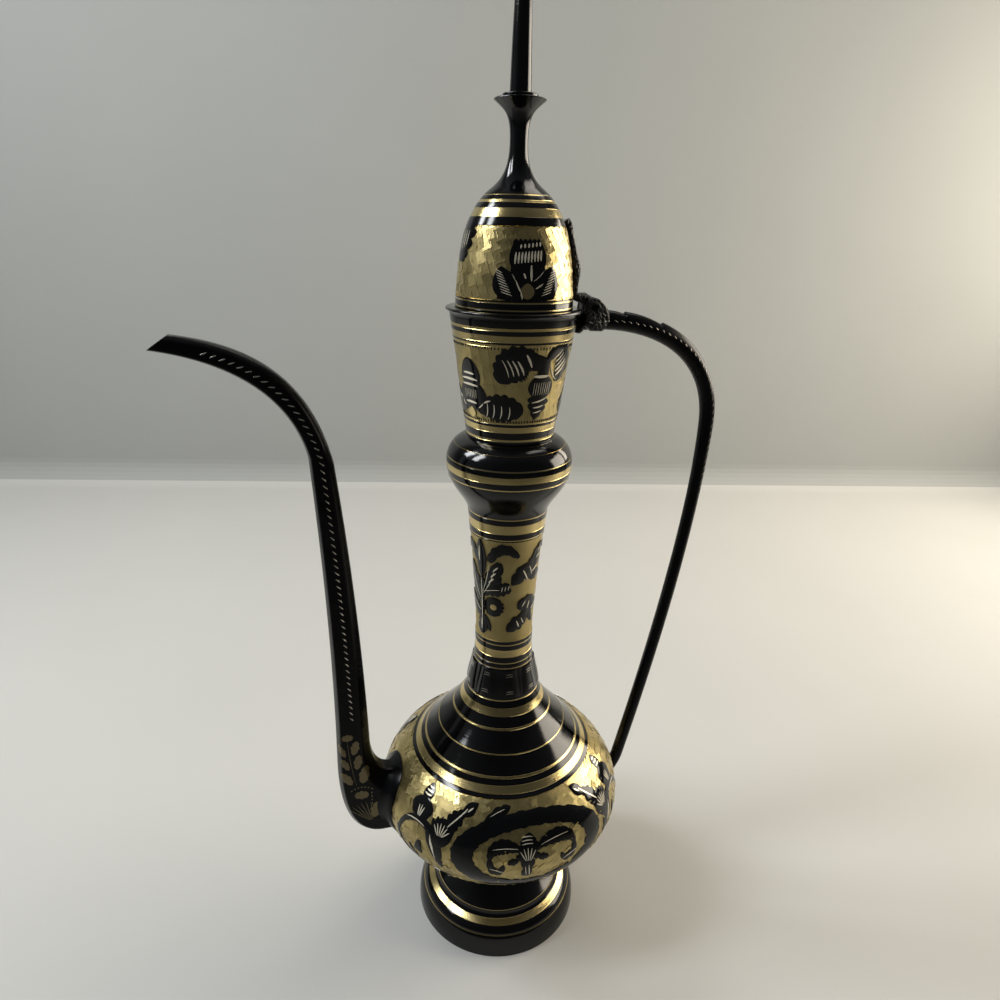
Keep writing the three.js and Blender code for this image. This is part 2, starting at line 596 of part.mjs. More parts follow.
function spoutRails() {
  const top = EQUATOR_Z + SPOUT_STUB_HEIGHT / 2;
  const bottom = EQUATOR_Z - SPOUT_STUB_HEIGHT / 2;
  const root = BELLY_RADIUS - SPOUT_ROOT_DEPTH;
  const arm = BELLY_RADIUS + SPOUT_STAND_OFF;
  const near = arm - SPOUT_ARM_WIDTH / 2;
  const far = arm + SPOUT_ARM_WIDTH / 2;
  const bend = EQUATOR_Z + SPOUT_BEND_HEIGHT;
  const bendNear = arm + SPOUT_BEND_LEAN - SPOUT_BEND_WIDTH / 2;
  const bendFar = arm + SPOUT_BEND_LEAN + SPOUT_BEND_WIDTH / 2;
  const tip = arm + SPOUT_BEND_LEAN + SPOUT_REACH;
  const tipZ = RIM_TOP_Z - SPOUT_TIP_DROP;
  const middle = (top + bend) / 2;
  const inner = new THREE.Path();
  inner.moveTo(root, top);
  inner.lineTo(near - SPOUT_ELBOW_RUN, top);
  inner.quadraticCurveTo(near, top, near, top + SPOUT_ELBOW_RISE);
  inner.quadraticCurveTo(near + SPOUT_ARM_BOW, middle + SPOUT_ARM_TAPER, bendNear, bend);
  const upperMouth = [tip - SPOUT_MOUTH_RUN, tipZ + SPOUT_MOUTH_RISE];
  const upperBeak = [tip - SPOUT_MOUTH_RUN - SPOUT_BEAK_RUN, tipZ + SPOUT_MOUTH_RISE - SPOUT_BEAK_SAG];
  inner.bezierCurveTo(bendNear + SPOUT_NECK_LEAN, bend + SPOUT_NECK_RISE, ...upperBeak, ...upperMouth);
  const outer = new THREE.Path();
  outer.moveTo(root, bottom);
  outer.lineTo(near - SPOUT_HEEL_RUN, bottom);
  outer.quadraticCurveTo(far, bottom, far, top + SPOUT_HEEL_RISE);
  const chin = bend + SPOUT_NECK_STEP;
  outer.quadraticCurveTo(far - SPOUT_ARM_HOLLOW, middle, bendFar, chin);
  const lowerBeak = [tip - SPOUT_BEAK_RUN, tipZ - SPOUT_CHIN_SAG];
  outer.bezierCurveTo(bendFar + SPOUT_CHIN_LEAN, chin + SPOUT_CHIN_RISE, ...lowerBeak, tip, tipZ);
  return [inner, outer];
}

// Stations along both rails, each with the tube's depth there.
function spoutStations() {
  const [inner, outer] = spoutRails();
  const depths = [SPOUT_STUB_DEPTH, SPOUT_STUB_DEPTH, SPOUT_ARM_DEPTH, SPOUT_BEND_DEPTH, SPOUT_TIP_DEPTH];
  const steps = [1, 6, 6, 10];
  const stations = [];
  steps.forEach((count, part) => {
    for (let i = part === 0 ? 0 : 1; i <= count; i += 1) {
      const near = inner.curves[part].getPoint(i / count);
      const far = outer.curves[part].getPoint(i / count);
      const depth = THREE.MathUtils.lerp(depths[part], depths[part + 1], i / count);
      stations.push({ near, far, depth });
    }
  });
  return stations;
}

// An eight-sided section across the tube: two broad faces, two narrow edges and the bevels between them.
function spoutSection({ near, far, depth }, grown) {
  const middle = near.clone().add(far).multiplyScalar(0.5);
  const across = near.clone().sub(far);
  const half = across.length() / 2 + grown;
  across.normalize();
  const deep = depth / 2 + grown;
  const nearCorners = [[1, 0.3], [0.56, 1], [-0.56, 1], [-1, 0.3]];
  const farCorners = nearCorners.map(([u, v]) => [-u, -v]);
  return [...nearCorners, ...farCorners].map(([u, v]) => {
    const place = middle.clone().addScaledVector(across, half * u);
    return new THREE.Vector3(-place.x, deep * v, place.y);
  });
}

// The tube grown by a distance. Its two ends are carried on past the real ones by an overshoot.
function spoutTube(grown, overshoot) {
  const stations = spoutStations();
  const sections = stations.map((station) => spoutSection(station, grown));
  if (overshoot > 0) {
    sections.unshift(carriedOn(sections[1], sections[0], overshoot));
    sections.push(carriedOn(sections.at(-2), sections.at(-1), overshoot));
  }
  return loft(sections);
}

function carriedOn(before, end, distance) {
  const middle = (section) => section.reduce((sum, place) => sum.add(place), new THREE.Vector3());
  const along = middle(end).sub(middle(before)).normalize();
  return end.map((place) => place.clone().addScaledVector(along, distance));
}

function spoutHalves() {
  const bore = spoutTube(-SPOUT_WALL, SPOUT_ROOT_DEPTH);
  const tube = spoutTube(0, 0).subtract(bore).subtract(bellyBody(SEAT_GAP));
  const room = 2 * (RIM_TOP_Z + SPOUT_REACH + BELLY_RADIUS);
  const nearSide = block(room, room, room, 0, -room / 2, 0);
  const farSide = block(room, room, room, 0, room / 2, 0);
  return { bore, near: tube.intersect(nearSide), far: tube.intersect(farSide) };
}

// A thin collar laid on the belly round the spout's root.
function spoutCollar() {
  const [root] = spoutStations();
  const plate = spoutSection(root, SPOUT_COLLAR_EDGE);
  const moved = (x) => plate.map((place) => place.clone().setX(place.x + x));
  const pad = loft([moved(2 * SPOUT_ROOT_DEPTH), moved(-2 * SPOUT_ROOT_DEPTH)]);
  const skin = bellyBody(SEAT_GAP + SPOUT_COLLAR_THICKNESS).subtract(bellyBody(SEAT_GAP));
  return pad.intersect(skin).subtract(spoutTube(SEAT_GAP, 0));
}

// Handle: one casting with its lug, its leaves and the two ears of the hinge

function handlePath() {
  const arm = RIM_TOP_Z - HANDLE_ARM_DROP;
  const reach = EQUATOR_Z + HANDLE_REACH_HEIGHT;
  const root = CUP_TOP_RADIUS + HANDLE_ROOT;
  const armRun = (HANDLE_REACH - root) * HANDLE_ARM_RUN;
  const lower = BELLY_RADIUS + HANDLE_LOWER_OFFSET;
  const bow = reach - HANDLE_REACH_HEIGHT * HANDLE_BOW;
  const runIn = [lower + HANDLE_RUN_IN_LEAN, EQUATOR_Z + HANDLE_REACH_HEIGHT * HANDLE_RUN_IN];
  const hook = [lower - HANDLE_HOOK_RUN, EQUATOR_Z - HANDLE_HOOK_DROP];
  const path = new THREE.Path();
  path.moveTo(root, arm);
  const arch = [root + armRun, arm + HANDLE_ARM_RISE, HANDLE_REACH, arm - HANDLE_ARM_FALL];
  path.bezierCurveTo(...arch, HANDLE_REACH, reach);
  path.bezierCurveTo(HANDLE_REACH, bow, ...runIn, lower, EQUATOR_Z);
  path.quadraticCurveTo(lower - HANDLE_HOOK_RUN / 4, EQUATOR_Z - HANDLE_HOOK_BEND, ...hook);
  return path;
}

// How far a leaf stands above the rod at a distance from the root: full at its tip, nothing at its end.
function leafLift(distance) {
  const starts = LEAF_STARTS.filter((start) => start <= distance);
  if (starts.length === 0 || distance > LEAF_END) return 0;
  const start = starts.at(-1);
  const end = LEAF_STARTS[starts.length] ?? LEAF_END;
  return LEAF_LIFT * (1 - (distance - start) / (end - start));
}

function handleSection(path, distance) {
  const share = distance / path.getLength();
  const middle = path.getPointAt(share);
  const along = path.getTangentAt(share);
  const outwards = new THREE.Vector2(-along.y, along.x);
  const slim = THREE.MathUtils.smoothstep(distance, LEAF_END, LEAF_END * 2);
  const radius = THREE.MathUtils.lerp(HANDLE_ARM_RADIUS, HANDLE_ROD_RADIUS, slim);
  const lift = leafLift(distance);
  return Array.from({ length: ROD_STEPS }, (unused, i) => {
    const angle = (2 * Math.PI * i) / ROD_STEPS;
    const height = Math.cos(angle) * (radius + (Math.cos(angle) > 0 ? lift : 0));
    const place = middle.clone().addScaledVector(outwards, height);
    return new THREE.Vector3(place.x, Math.sin(angle) * radius, place.y);
  });
}

function handle() {
  const path = handlePath();
  path.arcLengthDivisions = HANDLE_DIVISIONS;
  const step = path.getLength() / HANDLE_RINGS;
  const even = Array.from({ length: HANDLE_RINGS + 1 }, (unused, i) => step * i);
  const nearLeaf = (distance) => LEAF_STARTS.some((start) => Math.abs(distance - start) < step / 10);
  const clear = even.filter((distance) => !nearLeaf(distance));
  const distances = [...clear, ...LEAF_STARTS, ...LEAF_STARTS.map((start) => start - LEAF_EDGE)];
  distances.sort((a, b) => a - b);
  const rod = loft(distances.map((distance) => handleSection(path, distance)));
  const lug = new THREE.CapsuleGeometry(LUG_RADIUS, LUG_LENGTH - 2 * LUG_RADIUS, 4, ROD_STEPS);
  lug.rotateX(Math.PI / 2);
  lug.translate(CUP_TOP_RADIUS + LUG_RADIUS, 0, RIM_Z - LUG_LENGTH / 2);
  const ear = KNUCKLE_WIDTH / 2 + HINGE_GAP + EAR_WIDTH / 2;
  const cheekHeight = HANDLE_ARM_DROP + HANDLE_ARM_RADIUS / 2;
  const ears = [-1, 1].map((side) => {
    const eye = crossRod(KNUCKLE_RADIUS, EAR_WIDTH, HINGE_X, HINGE_Z).translate([0, side * ear, 0]);
    const cheekZ = HINGE_Z - cheekHeight / 2;
    const cheek = block(2 * KNUCKLE_RADIUS, EAR_WIDTH, cheekHeight, HINGE_X, side * ear, cheekZ);
    return eye.add(cheek);
  });
  const casting = rod.add(toSolid(lug)).add(ears[0]).add(ears[1]);
  const slot = crossRod(KNUCKLE_RADIUS + HINGE_GAP, KNUCKLE_WIDTH + 2 * HINGE_GAP, HINGE_X, HINGE_Z);
  const bore = crossRod(PIN_RADIUS + SEAT_GAP, 4 * ear, HINGE_X, HINGE_Z);
  const hinged = casting.subtract(slot).subtract(bore);
  return hinged.subtract(cupBody(SEAT_GAP)).subtract(rimBody(SEAT_GAP)).subtract(bellyBody(SEAT_GAP));
}

function hingePin() {
  const length = KNUCKLE_WIDTH + 2 * HINGE_GAP + 2 * EAR_WIDTH + 2 * PIN_PROUD;
  return crossRod(PIN_RADIUS, length, HINGE_X, HINGE_Z);
}

// The strap rises from the knuckle, closes on the dome and ends there in a narrow tip.
function lidStrap() {
  const dome = domeCurve().getPoints(4 * DOME_STEPS);
  const sections = [];
  const section = (middle, outwards, thick, wide) => {
    const corners = [[-0.5, 1], [-0.5, -1], [0.15, -1], [0.5, -0.45], [0.5, 0.45], [0.15, 1]];
    sections.push(corners.map(([u, v]) => {
      const place = middle.clone().addScaledVector(outwards, u * thick);
      return new THREE.Vector3(place.x, v * wide / 2, place.y);
    }));
  };
  const lean = point(1, 1).normalize();
  section(point(HINGE_X, HINGE_Z + KNUCKLE_RADIUS / 3), lean, STRAP_THICKNESS, KNUCKLE_WIDTH);
  section(point(HINGE_X - STRAP_LEAN, HINGE_Z + STRAP_NECK_RISE), lean, STRAP_THICKNESS, KNUCKLE_WIDTH);
  for (let i = 0; i <= STRAP_STEPS; i += 1) {
    const share = i / STRAP_STEPS;
    const z = LID_Z + THREE.MathUtils.lerp(STRAP_LANDING, STRAP_HEIGHT, share);
    const knot = STRAP_KNOT * Math.exp(-(((share - 0.375) / 0.15) ** 2));
    const slim = THREE.MathUtils.smoothstep(share, 0.25, 1);
    const wide = THREE.MathUtils.lerp(STRAP_WIDTH, STRAP_TIP_WIDTH, slim);
    const thick = STRAP_THICKNESS + knot + STRAP_BURIED;
    const middle = radiusAt(dome, z) + SEAT_GAP + thick / 2 - STRAP_BURIED;
    section(point(middle, z), point(1, STRAP_TIP_LEAN * share), thick, wide);
  }
  const eye = crossRod(KNUCKLE_RADIUS, KNUCKLE_WIDTH, HINGE_X, HINGE_Z);
  const bore = crossRod(PIN_RADIUS + HINGE_GAP, KNUCKLE_WIDTH * 2, HINGE_X, HINGE_Z);
  const strap = eye.add(loft(sections)).subtract(bore).subtract(lidBody(SEAT_GAP));
  return strap.subtract(rimBody(HINGE_GAP));
}

// Assembly

const surahi = new THREE.Group();
const inlaidBrass = { color: 0xb9974f, roughness: 0.32, metalness: 1 };
const blackEnamel = { color: 0x0b0c10, roughness: 0.22, metalness: 0 };
const plainBrass = { color: 0xc7a45c, roughness: 0.35, metalness: 1 };

function addPiece(name, solid, finish) {
  const mesh = new THREE.Mesh(toGeometry(solid), new THREE.MeshStandardMaterial(finish));
  mesh.name = name;
  surahi.add(mesh);
}

const spout = spoutHalves();
addPiece('foot', foot(), inlaidBrass);
addPiece('belly_bowl', bowl().subtract(spout.bore), inlaidBrass);
addPiece('belly_shoulder', shoulder().subtract(spout.bore), inlaidBrass);
addPiece('neck', neck(), inlaidBrass);
addPiece('knop', knop(), inlaidBrass);
addPiece('cup', cup(), inlaidBrass);
addPiece('mouth_ring', rim(), blackEnamel);
addPiece('spout_near_half', spout.near, blackEnamel);
addPiece('spout_far_half', spout.far, blackEnamel);
addPiece('spout_collar', spoutCollar(), blackEnamel);
addPiece('handle', handle(), blackEnamel);
addPiece('hinge_pin', hingePin(), plainBrass);
addPiece('lid_dome', lid(), inlaidBrass);
addPiece('lid_strap', lidStrap(), blackEnamel);
addPiece('finial_stem', finialStem(), blackEnamel);
addPiece('finial_disc', ringPlate(STEM_TOP_RADIUS, DISC_RADIUS, DISC_Z, DISC_THICKNESS), blackEnamel);
const collarFoot = COLLAR_RADIUS - DISC_EDGE;
addPiece('finial_collar', ringPlate(collarFoot, COLLAR_RADIUS, COLLAR_Z, COLLAR_HEIGHT), blackEnamel);
addPiece('finial_spire', finialSpire(), blackEnamel);
addPiece('finial_stud', finialStud(), plainBrass);
addPiece('finial_nut', finialNut(), plainBrass);

export default surahi;
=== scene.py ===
"""Looks of the brass surahi: turned pieces with enamel bands, cut flowers, spout, handle, lid and stage."""
import math

import bmesh
import bpy
import numpy as np
from bpy.props import FloatProperty, FloatVectorProperty, IntProperty, PointerProperty
from mathutils import Matrix, Vector
from mathutils.bvhtree import BVHTree


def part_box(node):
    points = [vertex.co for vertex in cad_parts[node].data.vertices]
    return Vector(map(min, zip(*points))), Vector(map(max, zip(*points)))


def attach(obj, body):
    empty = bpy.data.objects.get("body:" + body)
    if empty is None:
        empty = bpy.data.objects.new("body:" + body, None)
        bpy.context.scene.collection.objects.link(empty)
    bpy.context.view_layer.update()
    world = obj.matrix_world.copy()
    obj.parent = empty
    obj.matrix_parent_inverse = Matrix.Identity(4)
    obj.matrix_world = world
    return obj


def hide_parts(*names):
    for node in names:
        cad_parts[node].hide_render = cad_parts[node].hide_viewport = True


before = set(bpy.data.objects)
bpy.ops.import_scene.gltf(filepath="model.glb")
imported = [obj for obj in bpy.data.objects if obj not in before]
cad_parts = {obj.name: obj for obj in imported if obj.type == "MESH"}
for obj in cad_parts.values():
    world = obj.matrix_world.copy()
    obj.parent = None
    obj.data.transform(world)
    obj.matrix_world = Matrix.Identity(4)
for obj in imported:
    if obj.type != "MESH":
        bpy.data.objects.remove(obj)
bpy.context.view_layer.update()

bl_info = {
    "name": "Brass Surahi",
    "version": (1, 0, 0),
    "blender": (4, 5, 0),
    "location": "3D View > Sidebar > Surahi",
    "description": "Dresses the brass surahi: enamel bands, cut flowers, spout, handle, lid and stage",
    "category": "Object",
}

MM = 0.001
VESSEL = "vessel"
LID = "lid"
SIDES = ((-1, "near"), (1, "far"))


def low(name):
    """Lowest corner of a part, in millimetres."""
    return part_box(name)[0] / MM


def high(name):
    """Highest corner of a part, in millimetres."""
    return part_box(name)[1] / MM


def length(name, description, millimetres):
    """A length setting, given in millimetres."""
    return FloatProperty(name=name, description=description, default=millimetres * MM, unit="LENGTH")


def colour(name, description, value):
    """A colour setting."""
    return FloatVectorProperty(
        name=name, description=description, default=value, subtype="COLOR", size=3, min=0, max=1
    )


class SurahiSizes(bpy.types.PropertyGroup):
    """Sizes that a user would change."""

    foot_radius: length("Foot radius", "Radius of the foot where it stands", high("foot").x)
    belly_radius: length("Belly radius", "Radius of the belly at its widest line", high("belly_bowl").y)
    knop_radius: length("Knop radius", "Radius of the swelling under the cup", high("knop").x)
    lid_radius: length("Lid radius", "Radius of the lid at its lower edge", high("lid_dome").x)
    ground_depth: length("Ground depth", "Depth of the scraped ground below the enamel", 0.35)
    line_depth: length("Line depth", "Depth of the turned brass lines and bands below the enamel", 0.1)
    line_width: length("Line width", "Width of a thin brass line", 0.58)
    facet_length: length("Facet length", "Length of one scraper mark on the ground", 4.2)
    facet_width: length("Facet width", "Width of one scraper mark on the ground", 3.8)
    facet_tilt: FloatProperty(
        name="Facet tilt",
        description="How far a scraper mark tilts out of the surface",
        default=math.radians(3),
        subtype="ANGLE",
    )
    dash_spacing: length("Dash spacing", "Distance between the cut dashes on the spout and the handle", 3)
    dash_length: length("Dash length", "Length of a cut dash", 2.5)
    dash_width: length("Dash width", "Width of a cut dash", 0.45)
    turning_steps: IntProperty(
        name="Turning steps", description="Facets round a turned piece", default=192, min=24
    )


class SurahiColours(bpy.types.PropertyGroup):
    """Colours that a user would change."""

    enamel: colour("Enamel", "Black enamel on the turned pieces", (0.0008, 0.0008, 0.0011))
    cast_enamel: colour("Cast enamel", "Black enamel on the spout, handle and strap", (0.001, 0.0011, 0.0015))
    brass: colour("Brass", "Turned brass bands and lines", (0.71, 0.57, 0.265))
    ground: colour("Ground", "Scraped brass between the flowers", (0.66, 0.535, 0.24))
    # The shade colour is both the random dulling of the brass and painted shade in the hatch grooves of the
    # neck.
    shade: colour("Shade", "Dull olive tone of the brass in its hollows", (0.18, 0.14, 0.06))
    # The cut colour is bright brass, and through its half-diffuse finish also a painted glint.
    cut: colour("Cut", "Bright brass of the fresh graver cuts", (0.92, 0.86, 0.70))
    dash: colour("Dash", "Pale metal in the dashes of the spout and handle", (0.58, 0.56, 0.50))
    inlay: colour("Inlay", "Dull brass of the sprig on the spout", (0.25, 0.21, 0.135))
    inside: colour("Inside", "Tarnished brass inside the vessel", (0.30, 0.21, 0.09))
    floor: colour("Floor", "Pale cloth that the surahi stands on", (0.60, 0.595, 0.57))
    wall: colour("Wall", "Pale cloth behind it", (0.44, 0.45, 0.435))


def sizes():
    return bpy.context.scene.surahi_sizes


def colours():
    return bpy.context.scene.surahi_colours


# Finishes

SMEAR = (0.0022, 0.0024, 0.003)
CAST_SMEAR = (0.0025, 0.0027, 0.0035)
RUBBED_METAL = (0.16, 0.15, 0.13)


def feed(tree, socket, value):
    """Links an output to an input, or sets a plain value on it."""
    if isinstance(value, bpy.types.NodeSocket):
        tree.links.new(value, socket)
    else:
        socket.default_value = value


def node(tree, kind, **settings):
    """A node with its settings. Names with two underscores feed an input: Scale__ feeds inputs["Scale"]."""
    made = tree.nodes.new(kind)
    for key, value in settings.items():
        if key.endswith("__"):
            feed(tree, made.inputs[key[:-2].replace("_", " ")], value)
        else:
            setattr(made, key, value)
    return made


def maths(tree, operation, *values):
    """One arithmetic step on sockets or numbers."""
    made = node(tree, "ShaderNodeMath", operation=operation)
    for socket, value in zip(made.inputs, values):
        feed(tree, socket, value)
    return made.outputs["Value"]


def ranged(tree, value, start, end):
    """Carries a value from 0..1 to start..end."""
    return node(tree, "ShaderNodeMapRange", Value__=value, To_Min__=start, To_Max__=end).outputs["Result"]


def mixed(tree, mask, first, second):
    """Mixes two colours by a mask."""
    made = node(tree, "ShaderNodeMix", data_type="RGBA", Factor__=mask)
    for socket, value in zip(made.inputs[6:8], (first, second)):
        feed(tree, socket, value if isinstance(value, bpy.types.NodeSocket) else (*value, 1))
    return made.outputs[2]


def dulled(tree, mask, share, bright, dull):
    """A bright tone that turns to a dull one by a share of a mask."""
    return mixed(tree, maths(tree, "MULTIPLY", mask, share), bright, dull)


def kept_tree(name, build):
    """The node tree of that name, built when it is first asked for."""
    return bpy.data.node_groups.get(name) or build(name)


def shader_group(name, inputs, outputs):
    """An empty shader node group with named number sockets, and its two end nodes."""
    group = bpy.data.node_groups.new(name, "ShaderNodeTree")
    for label, value in inputs:
        socket = group.interface.new_socket(label, in_out="INPUT", socket_type="NodeSocketFloat")
        socket.default_value = value
    for label in outputs:
        group.interface.new_socket(label, in_out="OUTPUT", socket_type="NodeSocketFloat")
    return group, group.nodes.new("NodeGroupInput").outputs, group.nodes.new("NodeGroupOutput").inputs


def handling_group(name):
    """Smudges from hands and age: a soft broad mask and a fine one."""
    group, given, out = shader_group(name, [("Broad", 60), ("Fine", 900)], ["Smudge", "Grain"])
    place = node(group, "ShaderNodeTexCoord").outputs["Object"]
    kind = "ShaderNodeTexNoise"
    broad = node(group, kind, Vector__=place, Scale__=given["Broad"], Detail__=4, Roughness__=0.6)
    fine = node(group, kind, Vector__=place, Scale__=given["Fine"], Detail__=3, Roughness__=0.7)
    sharper = node(group, "ShaderNodeMapRange", From_Min__=0.35, From_Max__=0.68)
    feed(group, sharper.inputs["Value"], broad.outputs["Fac"])
    feed(group, out["Smudge"], sharper.outputs["Result"])
    feed(group, out["Grain"], fine.outputs["Fac"])
    return group


def turning_group(name):
    """Fine rings left by the lathe tool, along the run of the piece's own map."""
    group, given, out = shader_group(name, [("Rings", 2.2)], ["Height"])
    place = node(group, "ShaderNodeUVMap", uv_map="run")
    run = node(group, "ShaderNodeSeparateXYZ", Vector__=place.outputs["UV"]).outputs["Y"]
    rings = node(group, "ShaderNodeTexNoise", noise_dimensions="1D", W__=run, Detail__=3, Roughness__=0.65)
    feed(group, rings.inputs["Scale"], given["Rings"])
    feed(group, out["Height"], rings.outputs["Fac"])
    return group


def lathe_rings(tree, rings):
    """Height of the lathe rings, at their own spacing."""
    group = kept_tree("Turning marks", turning_group)
    return node(tree, "ShaderNodeGroup", node_tree=group, Rings__=rings).outputs["Height"]


def new_finish(name, metallic):
    """A material with its one Principled shader."""
    material = bpy.data.materials.new(name)
    material.use_nodes = True
    tree = material.node_tree
    shader = next(n for n in tree.nodes if n.type == "BSDF_PRINCIPLED")
    shader.inputs["Metallic"].default_value = metallic
    return material, tree, shader


def dress(tree, shader, base, mask, smooth, rough):
    """Feeds a shader its colour, and its roughness from a mask."""
    feed(tree, shader.inputs["Base Color"], base)
    feed(tree, shader.inputs["Roughness"], ranged(tree, mask, smooth, rough))


def bump(tree, shader, height, strength, distance):
    """Feeds a shader its fine relief."""
    made = node(tree, "ShaderNodeBump", Height__=height, Strength__=strength, Distance__=distance)
    feed(tree, shader.inputs["Normal"], made.outputs["Normal"])


def enamel_finish(tree, shader, smudge, grain):
    """Glossy black enamel with lathe rings and a little smearing."""
    dress(tree, shader, mixed(tree, smudge, colours().enamel, SMEAR), smudge, 0.07, 0.15)
    bump(tree, shader, lathe_rings(tree, 1.6), 0.25, 0.00008)
    shader.inputs["IOR"].default_value = 1.47


def cast_finish(tree, shader, smudge, grain):
    """Black enamel over a cast surface, not quite even."""
    dress(tree, shader, mixed(tree, smudge, colours().cast_enamel, CAST_SMEAR), smudge, 0.18, 0.32)
    bump(tree, shader, grain, 0.2, 0.0001)
    shader.inputs["IOR"].default_value = 1.3
    shader.inputs["Specular IOR Level"].default_value = 0.4


def chased_finish(tree, shader, smudge, grain):
    """Black enamel over chased scales, with metal showing on their rubbed edges."""
    place = node(tree, "ShaderNodeTexCoord").outputs["Object"]
    scales = node(tree, "ShaderNodeTexVoronoi", feature="DISTANCE_TO_EDGE", Vector__=place, Scale__=620)
    groove = node(tree, "ShaderNodeMapRange", Value__=scales.outputs["Distance"], From_Max__=0.12)
    groove = groove.outputs["Result"]
    rubbed = maths(tree, "MULTIPLY", ranged(tree, groove, 1, 0), smudge)
    dress(tree, shader, dulled(tree, rubbed, 0.5, colours().cast_enamel, RUBBED_METAL), smudge, 0.24, 0.42)
    bump(tree, shader, groove, 0.6, 0.00025)
    shader.inputs["IOR"].default_value = 1.45


def band_finish(tree, shader, smudge, grain):
    """Turned brass with lathe rings, a little darker where it has dulled."""
    dress(tree, shader, dulled(tree, smudge, 0.3, colours().brass, colours().shade), smudge, 0.16, 0.26)
    bump(tree, shader, lathe_rings(tree, 3.4), 0.4, 0.0001)


def ground_finish(tree, shader, smudge, grain):
    """Scraped brass: fine tool lines and patches that have dulled to olive."""
    place = node(tree, "ShaderNodeTexCoord").outputs["Object"]
    turn = node(tree, "ShaderNodeMapping", Vector__=place, Rotation__=(0.5, 0.3, 0.4))
    feed(tree, turn.inputs["Scale"], (2600, 2600, 260))
    lines = node(tree, "ShaderNodeTexNoise", Vector__=turn.outputs["Vector"], Scale__=1, Detail__=2)
    lines = lines.outputs["Fac"]
    dress(tree, shader, dulled(tree, smudge, 0.45, colours().ground, colours().shade), lines, 0.2, 0.42)
    bump(tree, shader, lines, 0.35, 0.00012)


def hatched_finish(tree, shader, smudge, grain):
    """Brass ground hatched both ways with fine lines, on the neck, with painted shade in the grooves of the
    hatch and dulled patches at random.
    """
    place = node(tree, "ShaderNodeUVMap", uv_map="run").outputs["UV"]
    heights = []
    for angle in (0.75, -0.75):
        turn = node(tree, "ShaderNodeMapping", Vector__=place, Rotation__=(0, 0, angle)).outputs["Vector"]
        lines = node(tree, "ShaderNodeTexWave", Vector__=turn, Scale__=0.3, Distortion__=1.2, Detail__=1)
        heights.append(lines.outputs["Fac"])
    hatch = maths(tree, "MULTIPLY", *heights)
    # Painted shade: where the hatch is low, in its grooves, the ground turns towards the shade colour.
    hollow = maths(tree, "SUBTRACT", 0.62, maths(tree, "MULTIPLY", hatch, 1.1))
    dull = maths(tree, "MULTIPLY", hollow, ranged(tree, smudge, 0.75, 1.2))
    dress(tree, shader, mixed(tree, dull, colours().ground, colours().shade), smudge, 0.42, 0.56)
    bump(tree, shader, hatch, 0.6, 0.00012)


def cut_finish(tree, shader, smudge, grain):
    """Bright fresh brass of graver cuts, half of it a pale diffuse colour: a painted glint that lights up
    from all sides.
    """
    dress(tree, shader, dulled(tree, smudge, 0.25, colours().cut, colours().brass), grain, 0.16, 0.34)


def dash_finish(tree, shader, smudge, grain):
    """Pale bare metal in the chased dashes."""
    dress(tree, shader, dulled(tree, smudge, 0.4, colours().dash, colours().inlay), grain, 0.2, 0.4)


def inlay_finish(tree, shader, smudge, grain):
    """Dull brass scraped free of the enamel, with a fine grain."""
    dress(tree, shader, dulled(tree, grain, 0.7, colours().inlay, colours().shade), smudge, 0.4, 0.55)
    bump(tree, shader, grain, 0.5, 0.0001)


def inside_finish(tree, shader, smudge, grain):
    """Tarnished brass inside the vessel and under the foot."""
    dress(tree, shader, mixed(tree, smudge, colours().inside, colours().shade), grain, 0.35, 0.6)
    bump(tree, shader, grain, 0.3, 0.0001)


# Each finish with how metallic it is, and the scales of its smudges and its grain
FINISHES = {
    "enamel": (enamel_finish, 0, 45, 1400),
    "cast": (cast_finish, 0, 70, 700),
    "chased": (chased_finish, 0, 90, 900),
    "band": (band_finish, 1, 55, 1200),
    "ground": (ground_finish, 1, 120, 1500),
    "hatched": (hatched_finish, 1, 110, 1500),
    # Half metallic: the pale diffuse half of the cuts is a painted glint.
    "cut": (cut_finish, 0.5, 300, 2500),
    "dash": (dash_finish, 1, 300, 2500),
    "inlay": (inlay_finish, 1, 200, 2600),
    "inside": (inside_finish, 1, 80, 900),
}


def finish(name):
    """The finish of that name, made when it is first asked for."""
    known = bpy.data.materials.get(name)
    if known:
        return known
    fill, metallic, broad, fine = FINISHES[name]
    material, tree, shader = new_finish(name, metallic)
    group = kept_tree("Handling", handling_group)
    marks = node(tree, "ShaderNodeGroup", node_tree=group, Broad__=broad, Fine__=fine).outputs
    fill(tree, shader, marks["Smudge"], marks["Grain"])
    return material


# Outlines of the turned pieces


def bezier(points, places):
    """Points of a curve with any number of control points, at places from 0 to 1."""
    level = [np.outer(np.ones(len(places)), point) for point in np.array(points, float)]
    share = np.array(places)[:, None]
    while len(level) > 1:
        level = [a * (1 - share) + b * share for a, b in zip(level, level[1:])]
    return level[0]


def arc(radius, height, middle, start, end):
    """Part of an upright ellipse round the axis."""
    turns = np.linspace(start, end, 61)
    return np.stack([radius * np.cos(turns), middle + height * np.sin(turns)], 1)


def curve(*points):
    return bezier(points, np.linspace(0, 1, 41))


